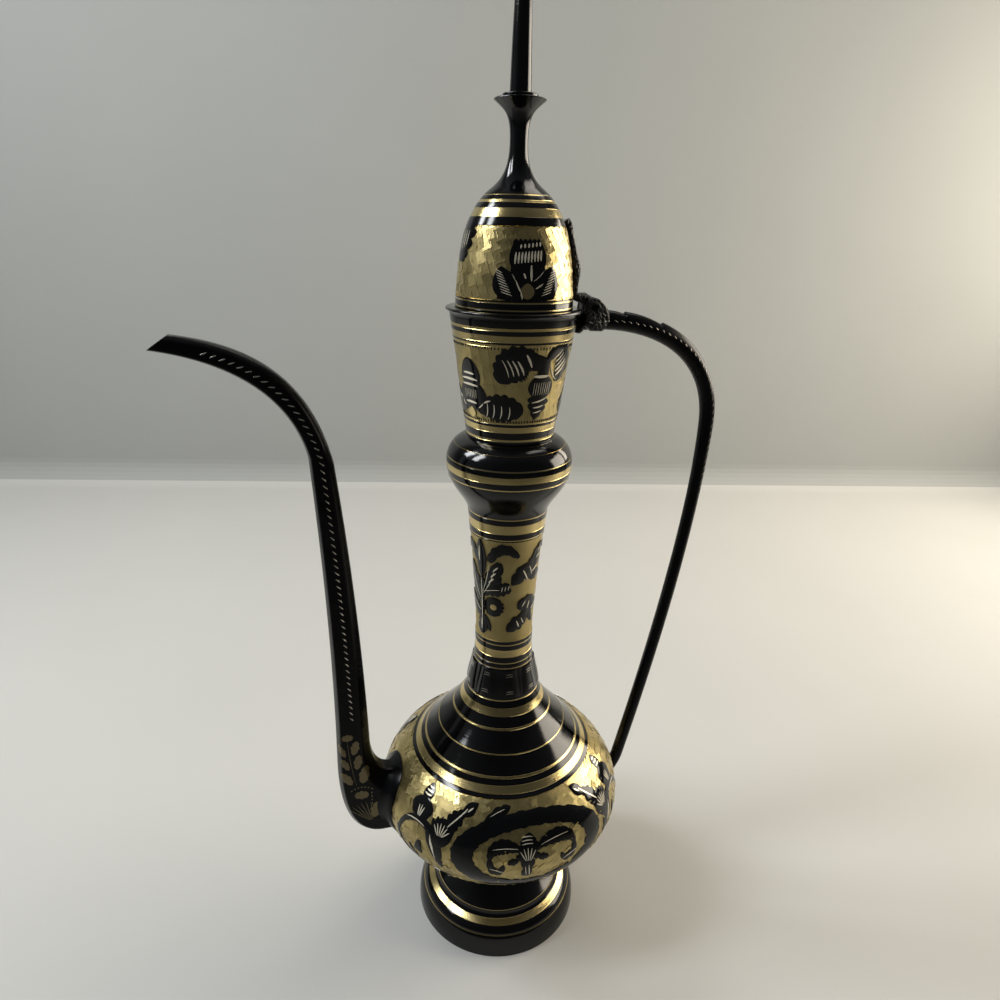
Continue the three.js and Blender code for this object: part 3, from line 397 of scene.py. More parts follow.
class Outline:
    """A line in millimetres out from the axis and up it, measured along its run."""

    def __init__(self, *curves):
        self.points = np.vstack([curves[0], *[part[1:] for part in curves[1:]]])
        steps = np.hypot(*np.diff(self.points, axis=0).T)
        self.runs = np.concatenate([[0], np.cumsum(steps)])
        along = np.gradient(self.points, self.runs, axis=0)
        along /= np.linalg.norm(along, axis=1)[:, None]
        self.outward = np.stack([along[:, 1], -along[:, 0]], 1)
        self.length = self.runs[-1]

    def at(self, run, height=0):
        """Radius and height above the floor at a run, lifted off the line by a height."""
        place = [np.interp(run, self.runs, self.points[:, k]) for k in (0, 1)]
        away = [np.interp(run, self.runs, self.outward[:, k]) for k in (0, 1)]
        return np.array([place[0] + height * away[0], place[1] + height * away[1]]).T

    def place(self, turn, run, height):
        """A point on the piece. Turn 0 is the front, at -Y, and turns grow towards +X."""
        radius, z = self.at(run, height)
        return radius * math.sin(turn), -radius * math.cos(turn), z

    def radius_at(self, z):
        return np.interp(z, self.points[:, 1], self.points[:, 0])


FOOT_TOP = high("foot").z
EQUATOR = high("belly_bowl").z
NECK_FOOT = high("belly_shoulder").z
KNOP_FOOT = low("knop").z
CUP_FOOT = low("cup").z
RIM_FOOT = high("cup").z
RIM_TOP = high("mouth_ring").z
LID_FOOT = low("lid_dome").z
LID_TOP = high("lid_dome").z
DISC_FOOT = low("finial_disc").z
SPIRE_FOOT = low("finial_spire").z
SPIRE_TIP = high("finial_spire").z
SEAT_RADIUS = 22.5
SHOULDER_RADIUS = 40
SHOULDER_RISE = 36
CREASE_HEIGHT = 1.0
THROAT_RADIUS = 16.3
NECK_WAIST = 12.7
NECK_TOP_RADIUS = high("neck").x
CUP_FOOT_RADIUS = 17.3
CUP_TOP_RADIUS = high("cup").x
MOUTH_RADIUS = 19.6
LID_TOP_RADIUS = high("finial_stem").x
STEM_WAIST = 3.2
STEM_TOP_RADIUS = 7.6
BORE = 1.7
WALL = 1.5


def foot_outline():
    radius = sizes().foot_radius / MM
    return Outline(
        curve((radius, 0), (radius, 7.6), (36.9, 10.9)),
        curve((36.9, 10.9), (34.9, 15.5), (30.8, 13.7), (30.3, 18.3)),
        curve((30.3, 18.3), (21, 26.3), (21, 37)),
        curve((21, 37), (21, FOOT_TOP - 2), (SEAT_RADIUS, FOOT_TOP)),
    )


def belly_outline():
    """Bowl, shoulder and flare in one run. The bowl ends at the belly's widest line."""
    radius = sizes().belly_radius / MM
    seat_turn = math.acos(SEAT_RADIUS / radius)
    depth = (EQUATOR - FOOT_TOP) / math.sin(seat_turn)
    shoulder_turn = math.acos(SHOULDER_RADIUS / radius)
    flare = EQUATOR + SHOULDER_RISE * math.sin(shoulder_turn)
    middle = (THROAT_RADIUS + 6, (flare + NECK_FOOT) / 2)
    cone = curve((SHOULDER_RADIUS, flare), middle, (THROAT_RADIUS, NECK_FOOT))
    crease = np.interp(np.linspace(0, 1, len(cone)), [0, 0.36, 0.85], [0, CREASE_HEIGHT, 0])
    return Outline(
        arc(radius, depth, EQUATOR, -seat_turn, 0),
        arc(radius, SHOULDER_RISE, EQUATOR, 0, shoulder_turn),
        cone + crease[:, None] * np.array([0.6, 0.8]),
    )


def neck_outline():
    waist = NECK_FOOT + 24
    middle = (NECK_WAIST, waist)
    return Outline(
        curve((THROAT_RADIUS, NECK_FOOT), (15.5, waist - 15.6), (NECK_WAIST, waist - 12), middle),
        curve(middle, (NECK_WAIST, waist + 20), (14.8, KNOP_FOOT - 20), (NECK_TOP_RADIUS, KNOP_FOOT)),
    )


def knop_outline():
    radius = sizes().knop_radius / MM
    belt = KNOP_FOOT + 19.6
    return Outline(
        curve((NECK_TOP_RADIUS, KNOP_FOOT), (18.2, KNOP_FOOT + 6), (radius, belt - 9), (radius, belt)),
        curve((radius, belt), (radius, belt + 6), (22.3, CUP_FOOT - 1.6), (CUP_FOOT_RADIUS, CUP_FOOT)),
    )


def cup_outline():
    return Outline(curve((CUP_FOOT_RADIUS, CUP_FOOT), (CUP_TOP_RADIUS, RIM_FOOT)))


def lid_outline():
    radius = sizes().lid_radius / MM
    side = (radius - 0.5, LID_FOOT + 0.46 * (LID_TOP - LID_FOOT))
    crown = (LID_TOP_RADIUS + 9, LID_TOP - 7)
    return Outline(curve((radius, LID_FOOT), side, crown, (LID_TOP_RADIUS, LID_TOP)))


def stem_outline():
    waist = LID_TOP + 15.5
    middle = (STEM_WAIST, waist)
    lip = (STEM_TOP_RADIUS, DISC_FOOT)
    return Outline(
        curve((LID_TOP_RADIUS, LID_TOP), (4.4, LID_TOP + 4), (STEM_WAIST, waist - 7), middle),
        curve(middle, (STEM_WAIST, DISC_FOOT - 4), (4.6, DISC_FOOT - 2.4), lip),
    )


def spire_outline():
    radius = high("finial_spire").x
    middle = (radius - 0.6, (SPIRE_FOOT + SPIRE_TIP) / 2)
    return Outline(curve((radius, SPIRE_FOOT), middle, (radius - 1.2, SPIRE_TIP - 6), (0, SPIRE_TIP)))


# Meshes


def placed(name, data):
    """An object of that name in the scene."""
    made = bpy.data.objects.new(name, data)
    bpy.context.scene.collection.objects.link(made)
    return made


def new_object(name, points, faces, finishes, slots=None):
    """A mesh object from points in millimetres, with its faces' finishes."""
    mesh = bpy.data.meshes.new(name)
    mesh.from_pydata([tuple(np.array(p, float) * MM) for p in points], [], faces)
    for label in finishes:
        mesh.materials.append(finish(label))
    if slots is not None:
        mesh.polygons.foreach_set("material_index", slots)
    return placed(name, mesh)


def tube_faces(rows, count, capped=True):
    """Faces of a tube through rows of points, with its two ends closed if it is capped."""
    faces = []
    for i in range(rows - 1):
        for k in range(count):
            n = (k + 1) % count
            faces.append((i * count + k, i * count + n, (i + 1) * count + n, (i + 1) * count + k))
    if capped:
        faces.append(tuple(range(count - 1, -1, -1)))
        faces.append(tuple((rows - 1) * count + k for k in range(count)))
    return faces


def close_up(made, sharp=32):
    """Merges doubles, turns the faces outwards, and shades smooth between sharp edges."""
    shape = bmesh.new()
    shape.from_mesh(made.data)
    bmesh.ops.remove_doubles(shape, verts=shape.verts, dist=1e-7)
    bmesh.ops.recalc_face_normals(shape, faces=shape.faces)
    shape.to_mesh(made.data)
    shape.free()
    made.data.polygons.foreach_set("use_smooth", [True] * len(made.data.polygons))
    made.data.set_sharp_from_angle(angle=math.radians(sharp))
    return made


def seat(made, body, slot, *nodes):
    """Puts a finished piece on its body and hides the parts that it stands for. The slot is not used."""
    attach(made, body)
    if nodes:
        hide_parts(*nodes)
    return made


def lathe(name, profile, labels, runs, steps=None):
    """A turned solid from a closed profile. Each profile edge has a finish, and a run for its map."""
    steps = steps or sizes().turning_steps
    count = len(profile)
    turns = [2 * math.pi * j / steps for j in range(steps)]
    points = [(r * math.sin(a), -r * math.cos(a), z) for a in turns for r, z in profile]
    kinds = sorted(set(labels))
    reach = max(r for r, z in profile)
    faces, slots, maps = [], [], []
    for j in range(steps):
        here, there = j * count, (j + 1) % steps * count
        ends = (2 * math.pi * reach * j / steps, 2 * math.pi * reach * (j + 1) / steps)
        for i in range(count):
            k = (i + 1) % count
            if max(profile[i][0], profile[k][0]) < 1e-6:
                continue
            faces.append((here + i, there + i, there + k, here + k))
            slots.append(kinds.index(labels[i]))
            edge = (runs[i], runs[k] if k else runs[i] + 1)
            maps += [ends[0], edge[0], ends[1], edge[0], ends[1], edge[1], ends[0], edge[1]]
    made = new_object(name, points, faces, kinds, slots)
    made.data.uv_layers.new(name="run").uv.foreach_set("vector", maps)
    return close_up(made)


BAND_EDGE = 0.06
TURNING_STEP = 0.9
INNER_STEP = 2.5


def banded(outline, bands, start=0, end=None):
    """Outside of a turned piece with its bands let in: points, their finishes and their runs."""
    end = outline.length if end is None else end
    stops = list(np.linspace(start, end, max(int((end - start) / TURNING_STEP), 6)))
    ramps = []
    for first, last, label, depth in bands:
        edges = [first - BAND_EDGE, first + BAND_EDGE, last - BAND_EDGE, last + BAND_EDGE]
        stops += edges
        ramps.append((edges, [0, depth, depth, 0]))
    stops = np.unique(np.clip(np.round(stops, 4), start, end))
    depths = np.zeros(len(stops))
    for edges, ramp in ramps:
        depths = np.maximum(depths, np.interp(stops, edges, ramp))
    points = [tuple(outline.at(run, -depth)) for run, depth in zip(stops, depths)]
    labels = []
    for middle in (stops[:-1] + stops[1:]) / 2:
        found = [label for first, last, label, depth in bands if first <= middle <= last]
        labels.append(found[-1] if found else "enamel")
    return points, labels, list(stops)


def line(run, width=None):
    """A thin brass line."""
    half = (width or sizes().line_width / MM) / 2
    return band(run - half, run + half)


def band(first, last):
    """A brass band."""
    return first, last, "band", sizes().line_depth / MM


def ground(first, last, label="ground"):
    """The scraped ground between bands."""
    return first, last, label, sizes().ground_depth / MM


def turned_piece(name, outline, bands, inner, start=0, end=None, steps=None):
    """A turned piece from its banded outside and the points of its inside, from the top down."""
    points, labels, runs = banded(outline, bands, start, end)
    labels = labels + ["inside"] * (len(inner) + 1)
    runs = runs + [runs[-1] + k + 1 for k in range(len(inner))]
    return lathe(name, points + inner, labels, runs, steps)


def inner_wall(outline, wall, start=0, end=None):
    """Inside of a wall of even thickness, from the top down."""
    end = outline.length if end is None else end
    runs = np.linspace(end, start, max(int((end - start) / INNER_STEP), 5))
    return [(max(r, BORE), z) for r, z in outline.at(runs, -wall)]


class Relief:
    """Enamel flowers, stems and graver cuts, raised on a surface as closed blades."""

    def __init__(self, top, base, crown=0.1):
        self.top = top
        self.base = base
        self.crown = crown
        self.points = []
        self.faces = []

    def strip(self, place, left, right, closed=False):
        """A strip between two edges, crowned along its middle."""
        start = len(self.points)
        wide = max(math.dist(a, b) for a, b in zip(left, right))
        inner = 2 * min(int(wide / 1.4), 4) + 1
        across = inner + 4
        for a, b in zip(left, right):
            a, b = np.array(a), np.array(b)
            crown = self.crown * min(1, math.dist(a, b) / 3)
            self.points.append(place(*a, self.base))
            for share in np.linspace(0, 1, inner + 2):
                self.points.append(place(*(a + (b - a) * share), self.top + crown * 4 * share * (1 - share)))
            self.points.append(place(*b, self.base))
        total = across * len(left)
        for face in tube_faces(len(left) + closed, across, not closed):
            self.faces.append(tuple(start + k % total for k in face))

    def blade(self, place, spine, widths, blunt=False, lobes=0, sections=14):
        """A leaf along a curved spine. Widths are half widths that shape its outline from end to end."""
        sections = max(sections, 6 * lobes)
        share = (1 - np.cos(np.linspace(0, math.pi, sections + 1))) / 2
        middle = bezier(spine, share)
        along = np.gradient(middle, axis=0)
        along /= np.linalg.norm(along, axis=1)[:, None] + 1e-9
        across = np.stack([-along[:, 1], along[:, 0]], 1)
        half = bezier([[w] for w in widths], share)[:, 0]
        if blunt:
            half = half * np.sin(math.pi * share.clip(0.004, 0.996)) ** 0.4
        if lobes:
            depth = min(0.3, 1.4 / lobes)
            half = half * (1 - 0.7 * depth + depth * np.abs(np.sin(math.pi * lobes * share)))
        half = np.maximum(half, 0.05)[:, None]
        self.strip(place, middle + across * half, middle - across * half)

    def cut(self, place, start, end, width=0.5, bend=0):
        """A graver cut: a thin bright stroke, bent sideways by a share of its length."""
        a, b = np.array(start, float), np.array(end, float)
        side = np.array([a[1] - b[1], b[0] - a[0]]) * bend
        spine = [a, (a + b) / 2 + side, b]
        self.blade(place, spine, [0.15 * width, 0.7 * width, 0.15 * width], sections=6)

    def leaves(self, place, rows, blunt=False):
        """Leaves from rows of a spine, its half widths and, on a lobed leaf, the number of lobes."""
        for spine, widths, *lobes in rows:
            self.blade(place, spine, widths, blunt, *lobes)

    def cuts(self, place, rows):
        """Graver cuts from rows of a start, an end, a width and, on a bent cut, its bend."""
        for row in rows:
            self.cut(place, *row)

    def ring(self, place, centre, outer, inner):
        """An oval ring with slightly uneven, hand-cut edges."""
        left, right = [], []
        for k in range(120):
            turn = 2 * math.pi * k / 120
            wave = 0.22 * math.sin(23 * turn) + 0.16 * math.sin(41 * turn + 1)
            way = np.array([math.cos(turn), math.sin(turn)])
            left.append(centre + way * (np.array(outer) + wave))
            right.append(centre + way * (np.array(inner) - wave))
        self.strip(place, left, right, closed=True)

    def build(self, name, label, body, slot, copies=0):
        """The finished object, repeated round the axis if copies says how often."""
        made = new_object(name, self.points, self.faces, [label])
        if copies:
            tree = kept_tree("Round the axis", round_axis_tree)
            grown(made, tree, {"Count": copies, "Finish": finish(label)})
        close_up(made, 40)
        return seat(made, body, slot)


# Node trees for what repeats

SLANT_PLAY = 0.08


def new_tree(name, inputs):
    """A geometry node tree with named inputs, and its two end nodes."""
    tree = bpy.data.node_groups.new(name, "GeometryNodeTree")
    tree.interface.new_socket("Geometry", in_out="INPUT", socket_type="NodeSocketGeometry")
    for label, kind, value in [*inputs, ("Finish", "Material", None)]:
        socket = tree.interface.new_socket(label, in_out="INPUT", socket_type="NodeSocket" + kind)
        if value is not None:
            socket.default_value = value
    tree.interface.new_socket("Geometry", in_out="OUTPUT", socket_type="NodeSocketGeometry")
    return tree, tree.nodes.new("NodeGroupInput").outputs, tree.nodes.new("NodeGroupOutput").inputs


def end_tree(tree, given, out, points, shape, rotation):
    """Sets a shape on points, makes the copies real and sets their finish, which is how every tree ends."""
    kind = "GeometryNodeInstanceOnPoints"
    copies = node(tree, kind, Points__=points, Instance__=shape, Rotation__=rotation)
    real = node(tree, "GeometryNodeRealizeInstances", Geometry__=copies.outputs["Instances"])
    painted = node(tree, "GeometryNodeSetMaterial", Geometry__=real.outputs["Geometry"])
    feed(tree, painted.inputs["Material"], given["Finish"])
    feed(tree, out["Geometry"], painted.outputs["Geometry"])
    return tree


def grown(made, tree, values):
    """Runs a tree on an object and leaves the result as its plain mesh."""
    modifier = made.modifiers.new(tree.name, "NODES")
    modifier.node_group = tree
    for item in tree.interface.items_tree:
        if item.in_out == "INPUT" and item.name in values:
            modifier[item.identifier] = values[item.name]
    graph = bpy.context.evaluated_depsgraph_get()
    mesh = bpy.data.meshes.new_from_object(made.evaluated_get(graph), depsgraph=graph)
    made.modifiers.clear()
    if made.type == "MESH":
        made.data = mesh
        return made
    name = made.name
    bpy.data.objects.remove(made)
    return placed(name, mesh)


def round_axis_tree(name):
    """Repeats a shape round the upright axis."""
    tree, given, out = new_tree(name, [("Count", "Int", 4)])
    points = node(tree, "GeometryNodePoints", Count__=given["Count"])
    index = node(tree, "GeometryNodeInputIndex").outputs["Index"]
    step = maths(tree, "DIVIDE", 2 * math.pi, given["Count"])
    turn = node(tree, "ShaderNodeCombineXYZ", Z__=maths(tree, "MULTIPLY", index, step))
    rotation = node(tree, "FunctionNodeEulerToRotation", Euler__=turn.outputs["Vector"]).outputs["Rotation"]
    return end_tree(tree, given, out, points.outputs["Points"], given["Geometry"], rotation)


def aligned(tree, rotation, axis, pivot, vector):
    """Turns one axis of an instance towards a vector."""
    kind = "FunctionNodeAlignRotationToVector"
    made = node(tree, kind, axis=axis, pivot_axis=pivot, Vector__=vector)
    if rotation is not None:
        feed(tree, made.inputs["Rotation"], rotation)
    return made.outputs["Rotation"]


def turned_by(tree, rotation, euler):
    """Turns an instance further by an angle round each of its own axes."""
    angles = node(tree, "FunctionNodeEulerToRotation", Euler__=euler)
    made = node(tree, "FunctionNodeRotateRotation", rotation_space="LOCAL", Rotation__=rotation)
    feed(tree, made.inputs["Rotate By"], angles.outputs["Rotation"])
    return made.outputs["Rotation"]


def sized(tree, given, *labels):
    """Three of a tree's inputs as one vector."""
    made = node(tree, "ShaderNodeCombineXYZ")
    for socket, label in zip(made.inputs, labels):
        feed(tree, socket, given[label])
    return made.outputs["Vector"]


def scraper_tree(name):
    """Lays overlapping flat scraper marks on the points of a surface, each tilted a little by chance."""
    inputs = [
        ("Length", "Float", 0.0046),
        ("Width", "Float", 0.0032),
        ("Thickness", "Float", 0.0004),
        ("Slant", "Float", 0.5),
        ("Tilt", "Float", 0.08),
        ("Seed", "Int", 7),
    ]
    tree, given, out = new_tree(name, inputs)
    plate = node(tree, "GeometryNodeMeshCube", Size__=sized(tree, given, "Length", "Width", "Thickness"))
    normal = node(tree, "GeometryNodeInputNormal")
    flat = aligned(tree, None, "Z", "AUTO", normal.outputs[0])
    upright = aligned(tree, flat, "X", "Z", (0, 0, 1))
    chance = node(tree, "FunctionNodeRandomValue", data_type="FLOAT_VECTOR", Seed__=given["Seed"])
    for sign, label in ((-1, "Min"), (1, "Max")):
        tilt = maths(tree, "MULTIPLY", given["Tilt"], sign)
        slant = maths(tree, "ADD", given["Slant"], SLANT_PLAY * sign)
        corner = node(tree, "ShaderNodeCombineXYZ", X__=tilt, Y__=tilt, Z__=slant)
        feed(tree, chance.inputs[label], corner.outputs["Vector"])
    rotation = turned_by(tree, upright, chance.outputs["Value"])
    return end_tree(tree, given, out, given["Geometry"], plate.outputs["Mesh"], rotation)


def dash_tree(name):
    """Sets slanted graver dashes along a curve, facing one way."""
    inputs = [
        ("Spacing", "Float", 0.003),
        ("Length", "Float", 0.0018),
        ("Width", "Float", 0.0005),
        ("Height", "Float", 0.0003),
        ("Slant", "Float", 0.5),
        ("Facing", "Vector", (0.0, -1.0, 0.0)),
    ]
    tree, given, out = new_tree(name, inputs)
    path = node(tree, "GeometryNodeResampleCurve", mode="LENGTH", Curve__=given["Geometry"])
    feed(tree, path.inputs["Length"], given["Spacing"])
    grain = node(tree, "GeometryNodeMeshUVSphere", Segments__=8, Rings__=4, Radius__=0.5)
    shaped = node(tree, "GeometryNodeTransform", Geometry__=grain.outputs["Mesh"])
    feed(tree, shaped.inputs["Scale"], sized(tree, given, "Length", "Width", "Height"))
    tangent = node(tree, "GeometryNodeInputTangent")
    ahead = aligned(tree, None, "X", "AUTO", tangent.outputs["Tangent"])
    facing = aligned(tree, ahead, "Z", "X", given["Facing"])
    slant = node(tree, "ShaderNodeCombineXYZ", Z__=given["Slant"])
    rotation = turned_by(tree, facing, slant.outputs["Vector"])
    return end_tree(tree, given, out, path.outputs["Curve"], shaped.outputs["Geometry"], rotation)


MARK_THICKNESS = 0.4
MARK_SINK = 0.1
MARK_PITCH = 0.88
MARK_SPREAD = 0.9
DASH_HEIGHT = 0.3


def scraped(name, outline, first, last, body, slant, seed, stretch=1.0, tilt=1.0):
    """Scraper marks over the ground between two runs, in rows that are slightly uneven."""
    long, wide = sizes().facet_length * stretch, sizes().facet_width
    rows = max(int((last - first) / (long / MM * MARK_PITCH)), 2)
    around = 2 * math.pi * outline.at((first + last) / 2)[0]
    columns = int(around / (wide / MM * MARK_SPREAD))
    shift = (last - first) / rows * math.tan(slant) / (around / columns)
    sunk = -sizes().ground_depth / MM - MARK_SINK
    points = []
    for i in range(rows + 1):
        run = first + (last - first) * i / rows
        for j in range(columns):
            turn = 2 * math.pi * (j - shift * i + 0.06 * math.sin(5 * j + 3 * i)) / columns
            points.append(outline.place(turn, run + 0.35 * math.sin(7 * j + 2 * i), sunk))
    made = new_object(name, points, tube_faces(rows + 1, columns, False), ["ground"])
    values = {
        "Length": long,
        "Width": wide,
        "Thickness": MARK_THICKNESS * MM,
        "Slant": slant,
        "Tilt": sizes().facet_tilt * tilt,
        "Seed": seed,
        "Finish": finish("ground"),
    }
    grown(made, kept_tree("Scraper marks", scraper_tree), values)
    close_up(made, 20)
    return seat(made, body, "inlaid_brass")


def dash_row(name, points, side, slant, longer=1.0, wider=1.0):
    """A row of dashes along points in millimetres, each a share of the set length and width."""
    path = bpy.data.curves.new(name, "CURVE")
    path.dimensions = "3D"
    spline = path.splines.new("POLY")
    spline.points.add(len(points) - 1)
    for target, point in zip(spline.points, points):
        target.co = (*[c * MM for c in point], 1)
    values = {
        "Spacing": sizes().dash_spacing,
        "Length": sizes().dash_length * longer,
        "Width": sizes().dash_width * wider,
        "Height": DASH_HEIGHT * MM,
        "Slant": slant * side,
        "Facing": (0.0, float(side), 0.0),
        "Finish": finish("dash"),
    }
    made = grown(placed(name, path), kept_tree("Dash row", dash_tree), values)
    close_up(made, 60)
    return seat(made, VESSEL, "black_enamel")


def on_turning(outline, turn, radius):
    """Carries flat millimetres to a turned piece: x round it from a turn, y its run."""
    return lambda x, y, h: outline.place(math.radians(turn) + x / radius, y, h)


def three_reliefs():
    """Enamel shapes, graver cuts on them and brass buds on them, from the ground up."""
    deep = -sizes().ground_depth / MM - 0.3
    return Relief(0.02, deep, 0.12), Relief(0.19, -0.1, 0.03), Relief(0.17, -0.1, 0.05)


def lay_flowers(stem, reliefs, body):
    """Builds a flower's enamel, cuts and buds, each on the front and again on the back."""
    for relief, ending, label in zip(reliefs, ("s", "_cuts", "_buds"), ("enamel", "cut", "band")):
        if relief.points:
            relief.build(stem + ending, label, body, "inlaid_brass", 2)


# Flowers


def lid_flower(place, enamel, cuts, buds):
    """A crowned flower between two hatched leaves, over a brass bud."""
    enamel.blade(place, [(-0.5, 15), (-0.6, 19), (-0.8, 22.8)], [6, 7.6, 6.6, 5.4])
    enamel.blade(place, [(-0.8, 4.3), (-0.8, 10), (-0.6, 15.8)], [8.6, 6.4, 6, 6])
    enamel.blade(place, [(-11, 5.4), (-0.8, 4.3), (9.4, 5.4)], [0.9, 1.3, 0.9])
    for k in range(6):
        x = -5.2 + 1.76 * k
        enamel.blade(place, [(x, 21.8), (x, 24.1)], [1.1, 1.2, 0.7], blunt=True, sections=8)
        x = -3.4 + 1.45 * k
        cuts.cut(place, (x, 20.9 + 0.16 * k), (x + 0.25, 22.3 + 0.16 * k), 0.8)
    for side in (-1, 1):
        leaf = [(side * 4.2 - 0.9, 4.5), (side * 8.4 - 0.9, 9), (side * 9.2 - 0.9, 15)]
        enamel.blade(place, leaf, [3.2, 5.2, 5.2, 2], blunt=True)
        enamel.blade(place, [(side * 3 - 0.7, 11), (side * 4.6 - 0.7, 15.6)], [2, 2.4, 1.2], blunt=True)
    for k in range(9):
        x = -5.3 + 1.16 * k
        cuts.cut(place, (x, 15.9 + 0.13 * k), (x + 0.35, 19.7 + 0.09 * k), 0.85, 0.04)
        for side in (-1, 1):
            start = (side * (5 + 0.46 * k) - 0.9, 5.6 + 0.92 * k)
            cuts.cut(place, start, (start[0] + side * (3.8 - 0.14 * k), start[1] + 1.2), 0.34)
    strokes = [
        ((0.5, 10.4), (0.4, 15.6), 0.95),
        ((-1.4, 11.2), (-2.2, 13), 0.75),
        ((1.2, 10.4), (5, 13.7), 0.28, -0.12),
        ((2, 7.9), (4.7, 9.5), 0.55),
        ((-4.8, 10.6), (-2.8, 6.4), 0.6, -0.05),
        ((-6.1, 12.6), (-4.9, 10.4), 0.25),
        ((-3, 6.6), (-2.5, 4.6), 0.6),
    ]
    cuts.cuts(place, strokes)
    buds.blade(place, [(-0.8, 4.5), (-0.8, 9.7)], [1.9, 2.7, 2.5, 1.5], blunt=True)


def lid_leaf(place, enamel, cuts):
    """A lobed leaf that hangs from the black band."""
    enamel.blade(place, [(0, 30.8), (0.4, 24), (0, 15.8)], [6.6, 7.4, 6.6, 2.4], lobes=4)
    for k in range(5):
        cuts.cut(place, (-3.2 + 1.6 * k, 19.6 + abs(k - 2) * 0.9), (-3.6 + 1.8 * k, 26.4), 0.45)


def hanging_flower(place, enamel, cuts):
    """A hanging flower with a pendant bud and a leaf on each side."""
    round_leaves = [
        ([(0.4, 27.8), (0.6, 23), (0.2, 17.6)], [3.6, 5.8, 5.8, 4]),
        ([(-1.5, 33), (-10, 35), (-15.6, 24.6)], [3.4, 6.4, 8.4, 5.2], 8),
        ([(-4, 29.8), (-8, 34), (-13, 34.5)], [3.4, 4.4, 3], 3),
        ([(8.8, 38), (13.2, 31.6), (6.2, 24.8)], [3, 5, 5, 2.8], 4),
        ([(1.4, 32.4), (4.6, 36.6), (9, 37.2)], [1.6, 2.2, 1.8]),
    ]
    enamel.leaves(place, round_leaves, blunt=True)
    stems = [
        ([(0.2, 19), (-0.3, 15), (-1.1, 10.2)], [4.2, 5, 3.4, 0.3], 3),
        ([(0.6, 26.8), (0.9, 33.4)], [2.6, 1.7, 2.6]),
        ([(-6, 33), (1, 31.4)], [2.8, 3.4, 3, 2.4]),
    ]
    enamel.leaves(place, stems)
    strokes = [
        ((-3.1, 27.2), (2.9, 27.1), 1.3, -0.04),
        ((-2.9, 17.2), (3.4, 18.8), 0.75, -0.12),
        ((-2.2, 15.2), (2.4, 15.9), 0.7, -0.1),
        ((-1.9, 13.2), (1.6, 13.9), 0.6, -0.1),
        ((-6.2, 35.2), (-4.2, 30.6), 0.95, 0.06),
        ((3.4, 31.4), (6.8, 25.2), 0.5, -0.2),
    ]
    cuts.cuts(place, strokes)
    for k in range(8):
        cuts.cut(place, (-2.8 + 0.95 * k, 20), (-2.5 + 0.95 * k, 24.8), 0.2)
    for k, width in enumerate((0.4, 0.5, 0.7, 0.85)):
        x = -14.4 + 1.75 * k
        cuts.cut(place, (x, 33.2 - 0.1 * k), (x + 2.4, 26.9 + 0.3 * k), width, 0.1)
    for k, width in enumerate((1.0, 1.0, 0.4, 0.4, 0.4)):
        cuts.cut(place, (6.3 - 0.5 * k, 26.9 + 1.6 * k), (11.9 - 0.9 * k, 31.5 + 1.2 * k), width, -0.08)


def standing_bud(place, enamel, cuts, buds):
    """A standing bud with a leaf along the ground on each side."""
    enamel.blade(place, [(0, 12.8), (0.4, 18), (0.2, 25)], [6, 8.4, 8, 5.2], blunt=True)
    enamel.blade(place, [(0.2, 20), (0.2, 27), (0, 32.6)], [5.6, 5.6, 4.6, 3.4], blunt=True)
    for y, reach, width in ((26.9, 2.8, 1.05), (24.7, 4.2, 1.1), (22.5, 4.2, 1.05), (15.8, 3, 1.1)):
        cuts.cut(place, (-reach, y), (reach, y - 0.2), width, 0.06)
    for k in range(7):
        cuts.cut(place, (-3 + 1.0 * k, 17.4), (-2.9 + 1.0 * k, 20.8), 0.2)
    buds.blade(place, [(0, 9.8), (0, 14)], [1.5, 2.4, 2, 0.8], blunt=True)
    for side in (-1, 1):
        spine = [(side * 3, 12.8), (side * 11, 16.4), (side * 22.4, 13.4)]
        enamel.blade(place, spine, [2.4, 5, 6.4, 5], blunt=True, lobes=7)
        for k, x in enumerate((7.4, 10.2, 13.2, 16.4)):
            cuts.cut(place, (side * x, 10.7), (side * (x + 0.6), 16.4 - 0.3 * k), 0.5, -0.16 * side)
        cuts.cut(place, (side * 4, 14), (side * 6.2, 16), 0.6, -0.1 * side)
        cuts.cut(place, (side * 6.6, 16.2), (side * 9.4, 17.4), 0.75, 0.1 * side)


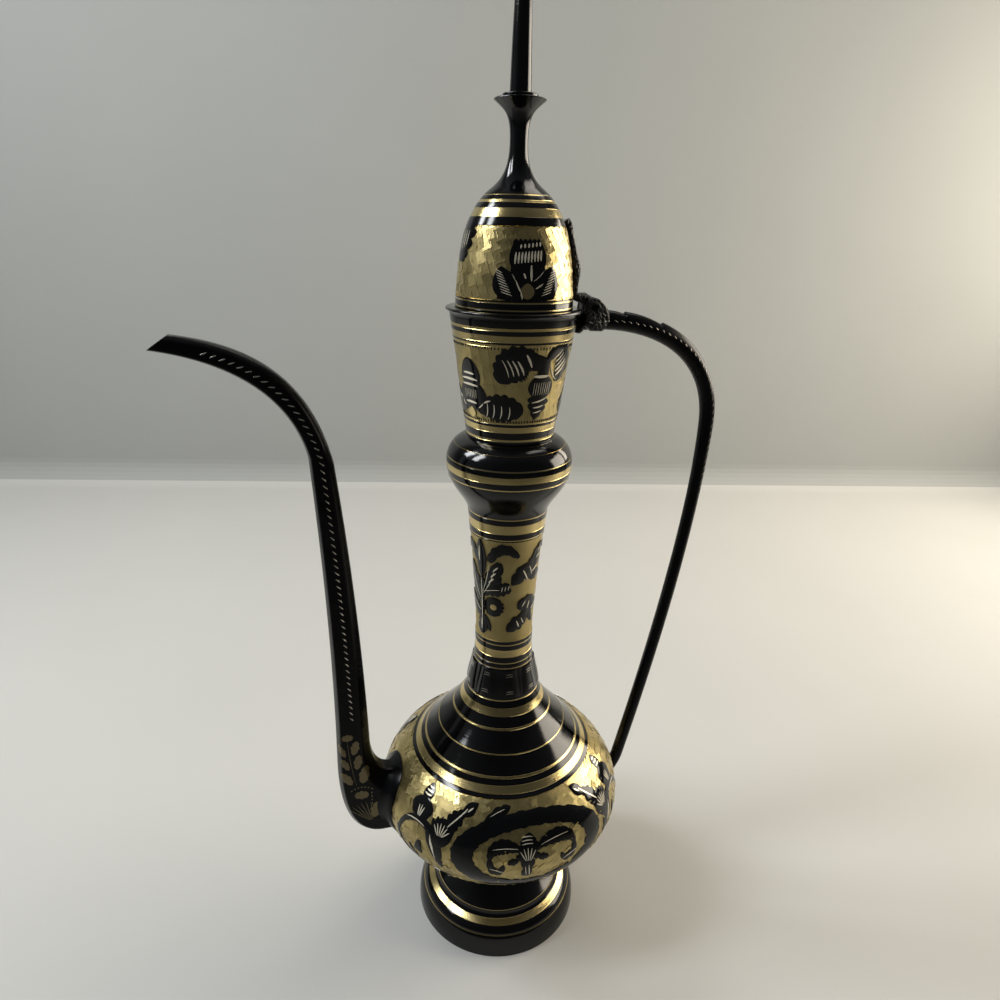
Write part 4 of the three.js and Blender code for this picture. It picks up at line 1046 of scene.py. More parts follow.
def neck_spray(place, enamel, cuts, buds):
    """A tall plant with leaves and a round flower, and two butterflies of leaves beside it."""
    plant = [
        ([(-0.2, 32), (0.6, 50), (0.3, 68)], [0.8, 0.9, 0.7]),
        ([(0.3, 59), (0.2, 76)], [0.8, 3.4, 2.8, 0.6]),
        ([(-0.3, 30.6), (0, 41)], [1.2, 4.4, 2.2, 0.6], 2),
        ([(1, 40), (3.4, 37), (4.2, 33)], [0.6, 2, 0.4]),
        ([(0.6, 50), (5.2, 56), (8.4, 66.8)], [1, 4, 4.6, 1.4], 4),
        ([(4.2, 66.6), (8.8, 78), (15.6, 69.4)], [1.4, 2.6, 3, 0.8], 5),
        ([(1.4, 52), (7, 53.4), (13, 55.4)], [0.8, 3, 4, 2], 5),
        ([(0.6, 44), (2, 46)], [0.6, 0.6]),
        ([(-0.4, 46), (-4.6, 54), (-6, 64)], [0.9, 4.4, 4.2, 0.8], 4),
        ([(-0.4, 40), (-5, 42), (-8.4, 49)], [0.8, 3.8, 3.6, 0.6], 3),
        ([(-2, 66), (-5.4, 76), (-10, 68.4)], [1, 2.6, 2.8, 0.6], 4),
    ]
    upper_butterfly = [
        ([(13.4, 56.6), (17, 60.4), (19.8, 64.6)], [0.6, 3.6, 4, 2], 2),
        ([(18.4, 59), (21.6, 65), (27, 67)], [2.4, 4, 4.2, 1.4], 4),
        ([(21.4, 58.2), (24, 60), (28.4, 59.4)], [1, 3.2, 3.2, 0.6], 3),
        ([(22.6, 66), (24.4, 70), (27.8, 73.4)], [1, 2.8, 2.6, 0.6], 3),
    ]
    lower_butterfly = [
        ([(12, 33.8), (16.4, 37.6), (21.6, 40)], [0.6, 4.2, 4.2, 1.6], 3),
        ([(20.4, 40), (23.8, 49.6)], [1.8, 4, 2.4], 4),
        ([(22.6, 40.6), (27.2, 47)], [1.2, 3.6, 2], 3),
        ([(23, 40.6), (26.4, 36)], [1, 2.4, 0.6], 2),
    ]
    enamel.leaves(place, [*plant, *upper_butterfly, *lower_butterfly])
    enamel.blade(place, [(17.4, 43.8), (21, 49)], [2.2, 3, 2], blunt=True)
    enamel.blade(place, [(5.8, 40.6), (5.8, 49.8)], [4.6, 4.8, 4.6], blunt=True, lobes=5)
    buds.blade(place, [(5.5, 44), (6.4, 46.6)], [1.5, 1.5], blunt=True, sections=8)
    plant_strokes = [
        ((0.2, 35), (0.4, 58), 0.4),
        ((-0.2, 66), (0, 73), 0.5, 0.05),
        ((1.2, 51), (6.2, 62.4), 0.35, -0.1),
        ((1.6, 52), (8.6, 54), 0.3, 0.1),
        ((-0.1, 33), (-0.2, 38), 0.5),
        ((0.9, 51.6), (4.2, 65.4), 0.3, -0.06),
        ((-0.5, 48), (-4.8, 60), 0.35, 0.1),
        ((-0.5, 42), (-6, 46.6), 0.35, 0.1),
    ]
    butterfly_strokes = [
        ((17.8, 63.2), (20.4, 57.6), 0.7, 0.06),
        ((22.6, 61.4), (25.2, 63.6), 1.0),
        ((24, 67.4), (26.6, 68.4), 0.7),
        ((20.6, 64.6), (22.4, 60), 0.4, 0.06),
        ((24.6, 70.4), (26.6, 72), 0.45),
        ((16.4, 38.8), (17.6, 35.6), 0.75),
        ((21.6, 43.6), (22.6, 47), 0.55),
        ((24.4, 42.4), (26, 43.6), 0.9),
        ((18.6, 39.8), (20, 36.8), 0.5),
        ((18.6, 45.2), (20.2, 47.8), 0.45),
    ]
    cuts.cuts(place, [*plant_strokes, *butterfly_strokes])
    for k in range(3):
        cuts.cut(place, (4 + 0.9 * k, 57 + 2.8 * k), (6.2 + 0.8 * k, 59.2 + 2.8 * k), 0.7)
        cuts.cut(place, (9.4 + 1.3 * k, 53.4 + 0.4 * k), (9.8 + 1.3 * k, 55.6 + 0.4 * k), 0.4)


def belly_medallion(place, enamel, cuts):
    """A broad oval ring round a palmette with two scrolls."""
    enamel.ring(place, np.array([0, 53.7]), (36.4, 18.9), (26.4, 12.4))
    x = -2.8
    enamel.blade(place, [(x - 1, 44.6), (x - 0.4, 48), (x, 54)], [2.2, 2, 2.4, 3.6], lobes=2)
    enamel.blade(place, [(x + 0.4, 56), (x + 0.8, 60), (x + 1.2, 63.8)], [3.6, 5.2, 4, 0.6], lobes=5)
    for k in range(7):
        lean = (k - 3) * 0.42
        tip = (x + 5.6 * math.sin(lean), 53.2 + 5.8 * math.cos(lean))
        enamel.blade(place, [(x, 52.6), tip], [0.7, 1.6, 2, 0.7], blunt=True, sections=8)
    for k in range(5):
        lean = (k - 2) * 0.36
        start = (x + 1.6 * math.sin(lean), 52.6)
        cuts.cut(place, start, (x + 5 * math.sin(lean), 52.6 + 5.4 * math.cos(lean)), 0.5)
    for k in range(3):
        cuts.cut(place, (x - 2.4, 59.4 + 1.4 * k), (x + 2.4, 59.4 + 1.4 * k), 0.4, 0.14)
    cuts.cut(place, (x + 0.5, 44.6), (x + 0.2, 50.6), 0.45)
    cuts.cut(place, (x - 0.9, 45), (x - 1.3, 50), 0.35)
    left = [(-5, 56.4), (-10, 60.6), (-19.4, 60.4), (-19.4, 53)]
    left_curl = [(-19.2, 54.6), (-19.8, 46.4), (-13.4, 45.6), (-13.4, 51.6)]
    right = [(0.4, 56.4), (6, 61.2), (18.6, 62.2), (19.6, 53.2)]
    right_curl = [(19.4, 54.8), (19.8, 47.4), (12.6, 46.6), (12.8, 51.6)]
    for scroll, curl, bend in ((left, left_curl, -0.1), (right, right_curl, 0.1)):
        enamel.blade(place, scroll, [1.6, 3, 3.5, 3.4, 1.8], blunt=True, lobes=7)
        enamel.blade(place, curl, [1.8, 2.1, 2.1, 1.3], blunt=True, lobes=4)
        a, b = np.array(scroll[0]), np.array(scroll[2])
        cuts.cut(place, a * 0.85 + b * 0.15 + (0, 0.9), a * 0.1 + b * 0.9 - (0, 2.2), 0.4, bend)
        cuts.cut(place, np.array(curl[1]) + (0.8, 3), np.array(curl[2]) + (0.3, 2), 0.4)
    enamel.blade(place, [(-7, 53), (-11.8, 51.8)], [1.3, 1.9, 1], blunt=True, lobes=3)
    enamel.blade(place, [(1.4, 53.4), (6.4, 52.6)], [1.3, 1.9, 1], blunt=True, lobes=3)


def belly_side(place, side, enamel, cuts):
    """Beside the medallion: a fan flower over an arch, a shell with buds, and a slip of leaf."""

    def blade(spine, widths, **options):
        enamel.blade(place, [(side * x, y) for x, y in spine], widths, **options)

    def cut(start, end, width=0.5, bend=0):
        cuts.cut(place, (side * start[0], start[1]), (side * end[0], end[1]), width, bend * side)

    fan = 55.8
    blade([(fan, 60.4), (fan, 69.8)], [4.4, 7.4, 7.4, 4.6], blunt=True)
    for k in range(5):
        lean = (k - 2) * 0.42
        across, up = math.sin(lean), math.cos(lean)
        blade([(fan, 60), (fan + 7.6 * across, 60.6 + 8 * up)], [0.9, 2.8, 3, 1.2], blunt=True)
        if abs(lean) < 0.6:
            cut((fan + 1.4 * across, 61.2), (fan + 4 * across, 61 + 4.8 * up), 0.75)
    blade([(fan, 67.4), (fan + 0.4, 75.8)], [2.2, 4, 3.6, 1.6], blunt=True)
    for y, reach in ((70.8, 2.3), (72.4, 2.1), (74, 1.4)):
        cut((fan - reach, y), (fan + reach, y), 0.9, -0.12)
    blade([(66.5, 46), (66, 61.4), (50, 63.4), (45.4, 55.6)], [0.9, 1.3, 1.7, 2.2])
    cut((62, 58), (51, 58.6), 0.6, -0.16)
    blade([(48, 59), (44, 54), (40.6, 43)], [2.6, 4.2, 3.6, 0.6])
    blade([(66.8, 50), (66.5, 38), (56, 31), (43, 34)], [1, 1.3, 1.5, 0.5])
    blade([(53, 45.4), (52.4, 52.6)], [2.4, 2, 0.2])
    blade([(55, 39.6), (58.6, 45.6)], [1.8, 1.8, 0.2])
    shell = 42.6
    blade([(43, 53), (42, 65.6)], [4, 6.6, 6.2, 3.6], blunt=True)
    for k in range(6):
        lean = (k - 2.5) * 0.34 - 0.1
        across, up = math.sin(lean), math.cos(lean)
        blade([(shell, 56), (shell + 8 * across, 57.4 + 8.6 * up)], [1, 2.4, 2.6, 0.9], blunt=True)
        cut((shell + 1.5 * across, 58), (shell + 5.4 * across, 57.4 + 5.8 * up), 0.6)
    for k in range(4):
        cut((43.4 + 0.9 * k, 47 + 1.8 * k), (45 + 0.7 * k, 52.6 + 1.4 * k), 0.5, -0.06)
    blade([(41.4, 61.6), (37, 66), (33, 71.4)], [2.4, 4.6, 4.2, 1.6], blunt=True, lobes=4)
    for k in range(5):
        cut((39.8 - 1.5 * k, 62.6 + 1.7 * k), (37.2 - 1.3 * k, 66 + 1.5 * k), 0.65)
    blade([(34.4, 69), (27, 75)], [1.6, 3.4, 3.2, 1], blunt=True)
    cut((31.6, 70.8), (29.2, 72.8), 0.85)
    if side < 0:
        blade([(23.4, 67.6), (16.4, 72.4), (9.6, 74.6)], [1.2, 2.8, 3, 1.6], blunt=True, lobes=3)
        cut((20, 70.4), (12.6, 73.6), 0.35, -0.06)
    for k in range(3):
        blade([(40 - 9 * k, 36 - 2 * k), (35 - 8 * k, 30 - k)], [0.5, 2.8, 2.6, 0.4], lobes=2)


# Turned pieces

NECK_PADS = 9
CUP_NOTCHES = 110
FINIAL_STEPS = 96


def foot_piece():
    outline = foot_outline()
    bands = [line(11), band(15.2, 18.3), line(21.8)]
    made = turned_piece("foot_turned", outline, bands, inner_wall(outline, 2.2))
    seat(made, VESSEL, "inlaid_brass", "foot")


def belly_pieces():
    outline = belly_outline()
    widest = float(np.interp(EQUATOR, outline.points[:, 1], outline.runs))
    bands = [line(8), line(21), ground(23.5, 77.2), band(79.3, 82.6), line(85.8, 1.0), line(95, 0.4)]
    bands += [line(105.3, 0.9), band(110.6, 114.1)]
    floor = [(0, FOOT_TOP + WALL), (0, FOOT_TOP)]
    inner = inner_wall(outline, WALL, 3, widest) + floor
    bowl = turned_piece("belly_bowl_turned", outline, bands, inner, 0, widest)
    seat(bowl, VESSEL, "inlaid_brass", "belly_bowl")
    inner = inner_wall(outline, WALL, widest)
    shoulder = turned_piece("belly_shoulder_turned", outline, bands, inner, widest)
    seat(shoulder, VESSEL, "inlaid_brass", "belly_shoulder")
    scraped("belly_scraper_marks", outline, 26.5, 74.4, VESSEL, 0.45, 11, tilt=1.5)
    reliefs = three_reliefs()
    place = on_turning(outline, 0, sizes().belly_radius / MM)
    belly_medallion(place, *reliefs[:2])
    for side in (-1, 1):
        belly_side(place, side, *reliefs[:2])
    lay_flowers("belly_flower", reliefs, VESSEL)


def neck_piece():
    outline = neck_outline()
    bands = [line(0.3), line(15.25), line(17.6), band(20.5, 24), line(26.5), ground(28.5, 76.6, "hatched")]
    bands += [line(77.3), band(80.1, 83.9), line(86.5)]
    made = turned_piece("neck_turned", outline, bands, inner_wall(outline, WALL))
    seat(made, VESSEL, "inlaid_brass", "neck")
    reliefs = three_reliefs()
    neck_spray(on_turning(outline, -62, outline.at(50)[0]), *reliefs)
    lay_flowers("neck_spray", reliefs, VESSEL)
    place = on_turning(outline, -4, outline.at(8)[0])
    pads = Relief(0.04, -0.4, 0.55)
    pads.blade(place, [(0, 1.7), (0, 14.3)], [4.5, 4.0, 3.6])
    pads.build("neck_pads", "enamel", VESSEL, "inlaid_brass", NECK_PADS)
    marks = Relief(0.62, -0.1, 0.02)
    for y in (4.6, 3.6, 12.4, 11.4):
        marks.cut(place, (-1.5, y), (1.5, y), 0.42, 0.2)
    marks.build("neck_pad_cuts", "dash", VESSEL, "inlaid_brass", NECK_PADS)


def knop_piece():
    outline = knop_outline()
    bands = [line(17.2), band(20, 22.6), line(24.9), line(31, 0.14), line(35.8, 0.14)]
    made = turned_piece("knop_turned", outline, bands, inner_wall(outline, 1.6))
    seat(made, VESSEL, "inlaid_brass", "knop")


def cup_piece():
    outline = cup_outline()
    bands = [line(1.8, 0.9), band(5, 7.3), band(8.3, 9.1), ground(9.2, 37.5)]
    bands += [band(37.6, 38.5), band(39.3, 41.7), line(43.8, 0.9)]
    made = turned_piece("cup_turned", outline, bands, inner_wall(outline, WALL))
    seat(made, VESSEL, "inlaid_brass", "cup")
    scraped("cup_scraper_marks", outline, 12.6, 34.4, VESSEL, 0.1, 23, 1.6, 0.35)
    enamel, cuts, buds = three_reliefs()
    radius = outline.at(23)[0]
    hanging_flower(on_turning(outline, 14, radius), enamel, cuts)
    standing_bud(on_turning(outline, -65, radius), enamel, cuts, buds)
    lay_flowers("cup_flower", (enamel, cuts, buds), VESSEL)
    notches = Relief(-0.05, -0.7, 0)
    for start, end in ((37.6, 36.5), (9.1, 10.1)):
        place = on_turning(outline, 0, outline.at(start)[0])
        notches.blade(place, [(0, start), (0, end)], [0.24, 0.28, 0.05], sections=4)
    notches.build("cup_notches", "enamel", VESSEL, "inlaid_brass", CUP_NOTCHES)


def mouth_ring_piece():
    """A ring with a thin lip over a hollow. It enters the cup with a short spigot."""
    low_end = low("mouth_ring").z
    reach = high("mouth_ring").x
    hollow = [(CUP_TOP_RADIUS, RIM_FOOT), (CUP_TOP_RADIUS, RIM_TOP - 1.3), (reach, RIM_TOP - 0.8)]
    lip = [(reach, RIM_TOP - 0.8), (reach + 0.05, RIM_TOP - 0.1), (reach - 0.6, RIM_TOP)]
    share = np.linspace(0, 1, 10)
    edge = [tuple(p) for p in [*bezier(hollow, share), *bezier(lip, share)[1:]]]
    spigot = CUP_TOP_RADIUS - 2.4
    profile = [(spigot, low_end), (spigot, RIM_FOOT), *edge, (MOUTH_RADIUS + 0.4, RIM_TOP)]
    profile += [(MOUTH_RADIUS, RIM_TOP - 0.4), (MOUTH_RADIUS, low_end)]
    labels = ["inside", *["enamel"] * (len(profile) - 3), "inside", "inside"]
    made = lathe("mouth_ring_turned", profile, labels, list(range(len(profile))))
    seat(made, VESSEL, "black_enamel", "mouth_ring")


def lid_piece():
    outline = lid_outline()
    bands = [line(0.5), line(3.05), ground(3.9, 28.3), band(31.3, 34.6), line(37.3, 1.1), line(40)]
    roof = [(BORE, LID_TOP), (BORE, LID_TOP - WALL)]
    inner = roof + inner_wall(outline, WALL, 0, outline.length - 3)
    made = turned_piece("lid_turned", outline, bands, inner)
    seat(made, LID, "inlaid_brass", "lid_dome")
    scraped("lid_scraper_marks", outline, 6.3, 25.8, LID, 0.42, 5)
    enamel, cuts, buds = three_reliefs()
    lid_flower(on_turning(outline, -2.5, outline.at(13)[0]), enamel, cuts, buds)
    lid_leaf(on_turning(outline, -86, outline.at(22)[0]), enamel, cuts)
    lay_flowers("lid_flower", (enamel, cuts, buds), LID)


def finial_pieces():
    bore = [(BORE, DISC_FOOT), (BORE, LID_TOP)]
    made = turned_piece("finial_stem_turned", stem_outline(), [], bore, steps=FINIAL_STEPS)
    seat(made, LID, "black_enamel", "finial_stem")
    for name, foot in (("finial_disc", STEM_TOP_RADIUS), ("finial_collar", high("finial_collar").x - 0.4)):
        radius, bottom, top = high(name).x, low(name).z, high(name).z
        edge = [(radius, top - 0.4), (radius, top), (radius - 0.5, top)]
        rim = [tuple(p) for p in bezier(edge, np.linspace(0, 1, 6))]
        profile = [(BORE, bottom), (foot, bottom), *rim, (BORE, top)]
        labels = ["enamel"] * (len(profile) - 1) + ["inside"]
        made = lathe(name + "_turned", profile, labels, list(range(len(profile))), FINIAL_STEPS)
        seat(made, LID, "black_enamel", name)
    base = [(0, SPIRE_FOOT)]
    made = turned_piece("finial_spire_turned", spire_outline(), [], base, steps=FINIAL_STEPS)
    seat(made, LID, "black_enamel", "finial_spire")


# Spout

SPOUT_WALL = 1.3
SPOUT_BEND = EQUATOR + 164
SPOUT_ARM = 68.6
SPOUT_TIP = -low("spout_near_half").x
SPOUT_TIP_Z = RIM_TOP - 13.6
SPOUT_DEPTHS = (15, 15, 12, 8.6, 7.6)
DASH_FOOT = 122


def spout_lines():
    """Inner and outer lines of the spout in distances from the axis, and its depth along them."""
    top, bottom = EQUATOR + 17.25, EQUATOR - 17.25
    near, far = SPOUT_ARM - 7.3, SPOUT_ARM + 7.3
    throat, chin = (SPOUT_ARM + 0.4, SPOUT_BEND), (SPOUT_ARM + 9.6, SPOUT_BEND + 3)
    mouth, tip = (SPOUT_TIP - 7.2, SPOUT_TIP_Z + 5), (SPOUT_TIP, SPOUT_TIP_Z)
    middle = (top + SPOUT_BEND) / 2
    root = sizes().belly_radius / MM - 10
    inner = [
        [(root, top), (near - 9, top)],
        [(near - 9, top), (near, top), (near, top + 20)],
        [(near, top + 20), (near + 1.4, middle + 14), throat],
        [throat, (throat[0] + 6, throat[1] + 29), (mouth[0] - 30, mouth[1] - 4), mouth],
    ]
    outer = [
        [(root, bottom), (near - 3, bottom)],
        [(near - 3, bottom), (far, bottom), (far, top + 4)],
        [(far, top + 4), (far - 2, middle), chin],
        [chin, (chin[0] + 4, chin[1] + 20), (tip[0] - 30, tip[1] - 5), tip],
    ]
    lines = [[], [], []]
    for part, count in enumerate((2, 16, 20, 34)):
        share = np.linspace(0, 1, count + 1)[0 if part == 0 else 1 :]
        lines[0].append(bezier(inner[part], share))
        lines[1].append(bezier(outer[part], share))
        lines[2].append(SPOUT_DEPTHS[part] + (SPOUT_DEPTHS[part + 1] - SPOUT_DEPTHS[part]) * share)
    return [np.concatenate(x) for x in lines]


def spout_edge(grown_by, half, deep):
    """Half of the tube's outline: broad face, bevels and narrow edges with softened corners."""
    wide, thick = half + grown_by, deep + grown_by
    shares = ((1, 0), (1, 0.5), (0.52, 1), (-0.76, 1), (-1, 0.3), (-1, 0))
    corners = [np.array((u * wide, v * thick)) for u, v in shares]
    points = [corners[0]]
    for before, here, after in zip(corners, corners[1:], corners[2:]):
        pull = [here + (p - here) * min(0.32, 0.9 / math.dist(p, here)) for p in (before, after)]
        points += list(bezier([pull[0], here, pull[1]], np.linspace(0, 1, 4)))
    return points + [corners[-1]]


def spout_section(inner, outer, depth, side, grown_by=0.0):
    """One half of the tube between a point of the inner line and one of the outer line."""
    middle, across = (inner + outer) / 2, inner - outer
    half = np.linalg.norm(across) / 2
    across = across / (2 * half)
    edge = spout_edge(grown_by, half, depth / 2)
    return [(-(middle + across * u)[0], side * v, (middle + across * u)[1]) for u, v in edge]


def spout_pieces():
    belly = belly_outline()
    lines = spout_lines()

    def on_belly(point):
        reach = belly.radius_at(point[2])
        return (-math.sqrt(reach**2 - point[1] ** 2), point[1], point[2])

    halves = {}
    for side, label in SIDES:
        points = []
        for i, station in enumerate(zip(*lines)):
            skin = spout_section(*station, side)
            lining = spout_section(*station, side, -SPOUT_WALL)
            loop = skin + lining[::-1]
            points += [on_belly(p) for p in loop] if i == 0 else loop
        count, stations = len(loop), len(lines[0])
        faces = tube_faces(stations, count, False)
        for end in (0, (stations - 1) * count):
            for k in range(count // 2 - 1):
                faces.append((end + k, end + k + 1, end + count - 2 - k, end + count - 1 - k))
        name = f"spout_{label}_half"
        made = close_up(new_object(name + "_cast", points, faces, ["cast"]), 50)
        halves[label] = seat(made, VESSEL, "black_enamel", name)
    collar = spout_collar_piece(belly, lines)
    seat(collar, VESSEL, "black_enamel", "spout_collar")
    for side, label in SIDES:
        spout_cuts(halves[label], side, label, lines)


def squared(turn, power):
    """Cosine and sine of a turn, drawn out towards the corners of a square."""
    pair = math.cos(turn), math.sin(turn)
    return [math.copysign(abs(c) ** power, c) for c in pair]


def spout_collar_piece(belly, lines):
    """A thin oval plate that flares from the spout's root on to the belly."""
    half, deep = (lines[0][0] - lines[1][0])[1] / 2, lines[2][0] / 2
    count = 64
    rings = [(-0.7, -0.7, 0.0), (-0.6, -0.9, 4.8), (0.4, -0.2, 3.6), (1.8, 0.4, 2.4), (3.8, 1.0, 1.4)]
    rings += [(6.2, 1.6, 0.7), (6.8, 1.9, 0.1)]
    points = []
    for sideways, upwards, height in rings:
        for k in range(count):
            across, up = squared(2 * math.pi * k / count, 0.75)
            y, z = (deep + sideways) * across, EQUATOR + (half + upwards) * up
            points.append((-math.sqrt((belly.radius_at(z) + height) ** 2 - y**2), y, z))
    faces = [tuple(k % len(points) for k in face) for face in tube_faces(len(rings) + 1, count, False)]
    return close_up(new_object("spout_collar_plate", points, faces, ["cast"]), 60)


def spout_cuts(half, side, label, lines):
    """The dash row up the spout's broad face and the brass sprig let into its root."""
    tree = BVHTree.FromPolygons([v.co for v in half.data.vertices], [p.vertices for p in half.data.polygons])

    def on_face(x, z, height):
        start = Vector((x * MM, side * 0.05, z * MM))
        spot, normal, index, distance = tree.ray_cast(start, Vector((0, -side, 0)))
        if spot is None:
            raise RuntimeError(f"the spout has no face at x {x:.1f}, z {z:.1f}")
        return tuple((spot + normal * height * MM) / MM)

    middle = (lines[0] + lines[1]) / 2
    path = [on_face(-x, z, 0) for x, z in middle if z > DASH_FOOT and x < SPOUT_TIP - 16]
    dash_row(f"spout_dashes_{label}", path, side, -0.7)
    sprig = Relief(0.1, -0.5, 0.02)
    leaves = [
        ([(-73.4, 113.6), (-68.6, 113.6)], [1.6, 1.9, 1.6], 3),
        ([(-68.8, 104.2), (-67.2, 111.4)], [1.2, 2.4, 1.4], 3),
        ([(-67.8, 96.2), (-66.4, 103.8)], [1.2, 2.4, 1.4], 3),
        ([(-65.6, 88.4), (-63.6, 97.4)], [1.8, 2.9, 1.6], 3),
        ([(-72.4, 103.7), (-74.6, 109.7)], [0.7, 1.7, 0.8], 3),
        ([(-71.2, 96.4), (-74, 102.7)], [0.9, 1.9, 0.9], 3),
        ([(-70.2, 88.2), (-74.4, 95)], [1.2, 2.5, 1.2], 3),
        ([(-69.4, 81.8), (-63.2, 81.8)], [2, 2.4, 2], 3),
        ([(-61.4, 68.4), (-59.2, 77)], [2, 3, 1.8], 3),
    ]
    sprig.leaves(on_face, leaves, blunt=True)
    sprig.cut(on_face, (-68.2, 87), (-71.2, 112), 0.3, 0.04)
    for k in range(7):
        rise = 0.16 * k * (6 - k)
        x = -71 + 1.5 * k
        sprig.blade(on_face, [(x, 84.5 + rise), (x + 0.7, 84.9 + rise)], [0.35, 0.35], blunt=True, sections=4)
    for k in range(4):
        sprig.blade(on_face, [(-61.9, 82 - 2 * k), (-61.8, 83 - 2 * k)], [0.32, 0.32], blunt=True, sections=4)
    for k in range(6):
        lean = (k - 4) * 0.24
        tip = (-64.6 + 9 * math.sin(lean), 69.4 + 8 * math.cos(lean))
        sprig.cut(on_face, (-63.6 + 0.3 * k, 67), tip, 0.4)
    sprig.build(f"spout_sprig_{label}", "inlay", VESSEL, "black_enamel")


# Handle, hinge and strap

HINGE_X = (low("hinge_pin").x + high("hinge_pin").x) / 2
HINGE_Z = (low("hinge_pin").z + high("hinge_pin").z) / 2
KNUCKLE_RADIUS = 3.7
KNUCKLE_WIDTH = 4.4
EAR_WIDTH = 2.6
HINGE_GAP = 0.3
EAR_PLACE = KNUCKLE_WIDTH / 2 + HINGE_GAP + EAR_WIDTH / 2
ROD_RADIUS = 3.3
ROD_SLIMMING = 0.5
ROD_SIDES = 24
LEAF_STARTS = (10, 18.6, 35)
LEAF_END = 62
LEAF_HEIGHT = 1.0
DASHES_START = 2.6
DASHES_END = 118
LUG_RADIUS = 2.3
LUG_HEIGHT = 7
LUG_SIDES = 20
STRAP_GAP = 0.25
STRAP_THICKNESS = 2.7
STRAP_KNOT = 0.8
STRAP_CURL = 0.7
STRAP_SIDES = 14


def handle_line():
    """Middle line of the handle, from its root at the cup round to the belly."""
    arm, reach = RIM_TOP - 5.7, EQUATOR + 172
    root, lower = CUP_TOP_RADIUS + 2.6, sizes().belly_radius / MM + 6
    out = 88
    parts = [
        [(root, arm), (root + 28, arm + 2.4), (out, arm - 9), (out, reach)],
        [(out, reach), (out, reach - 46.4), (lower + 12, EQUATOR + 53.3), (lower, EQUATOR)],
        [(lower, EQUATOR), (lower - 2.75, EQUATOR - 9), (lower - 11, EQUATOR - 15)],
    ]
    return Outline(*[bezier(part, np.linspace(0, 1, 201)) for part in parts])


def slimming(run):
    """How far the rod has slimmed past its leaves, from 0 to 1."""
    return np.clip((run - LEAF_END) / LEAF_END, 0, 1)


def leaf_lift(run):
    """Height of a leaf laid over the rod: full at its tip, nothing at its end."""
    starts = [s for s in LEAF_STARTS if s <= run]
    if not starts or run > LEAF_END:
        return 0
    ends = [*LEAF_STARTS[1:], LEAF_END]
    end = ends[len(starts) - 1]
    return LEAF_HEIGHT * (1 - ((run - starts[-1]) / (end - starts[-1])) ** 2)


def round_eye(turns):
    """Points of the hinge's eye at some turns."""
    return [(HINGE_X + KNUCKLE_RADIUS * math.cos(a), HINGE_Z + KNUCKLE_RADIUS * math.sin(a)) for a in turns]


def lug_shell():
    """An upright lug with round ends against the cup, as points and faces."""
    points = []
    turns = np.linspace(-math.pi / 2, math.pi / 2, 13)
    for a in turns:
        middle = RIM_FOOT - LUG_HEIGHT + LUG_RADIUS if a < 0 else RIM_FOOT - LUG_RADIUS
        z = middle + LUG_RADIUS * math.sin(a)
        reach = max(LUG_RADIUS * math.cos(a), 0.02)
        for k in range(LUG_SIDES):
            b = 2 * math.pi * k / LUG_SIDES
            points.append((CUP_TOP_RADIUS + LUG_RADIUS + reach * math.cos(b), reach * math.sin(b), z))
    return points, tube_faces(len(turns), LUG_SIDES)


def slab_shell(outline, y, width, bevel):
    """A plate in the plane of the handle with softened edges, as points and faces."""
    outline = np.array(outline, float)
    middle = outline.mean(axis=0)
    span = np.abs(outline - middle).max(axis=0)
    points = []
    rounds = [(side, turn) for side, turns in ((-1, (0, 45, 90)), (1, (90, 45, 0))) for turn in turns]
    for side, turn in rounds:
        turn = math.radians(turn)
        inset = bevel * (1 - math.sin(turn))
        depth = y + side * (width / 2 - bevel * (1 - math.cos(turn)))
        points += [(x, depth, z) for x, z in middle + (outline - middle) * (1 - inset / span)]
    return points, tube_faces(len(rounds), len(outline))


def joined(name, shells, labels, sharp):
    """One object from several closed shells, each with its own finish."""
    points, faces, slots = [], [], []
    kinds = sorted(set(labels))
    for (shell_points, shell_faces), label in zip(shells, labels):
        start = len(points)
        points += shell_points
        faces += [tuple(start + k for k in face) for face in shell_faces]
        slots += [kinds.index(label)] * len(shell_faces)
    return close_up(new_object(name, points, faces, kinds, slots), sharp)


def rod_shell(middle):
    """The rod with its overlapping leaves, as points and faces."""
    stops = [*np.arange(0, middle.length, 1.6), middle.length]
    stops += [start - back for start in LEAF_STARTS for back in (0, 0.25)]
    stops = sorted(set(np.round(stops, 3)))
    points = []
    for run in stops:
        slim = slimming(run)
        radius = ROD_RADIUS - ROD_SLIMMING * slim * slim * (3 - 2 * slim)
        lift = leaf_lift(run)
        for k in range(ROD_SIDES):
            a = 2 * math.pi * k / ROD_SIDES
            rise = math.cos(a) * (radius + lift * max(math.cos(a), 0) ** 0.6)
            x, z = middle.at(run, -rise)
            points.append((x, math.sin(a) * radius, z))
    return points, tube_faces(len(stops), ROD_SIDES)


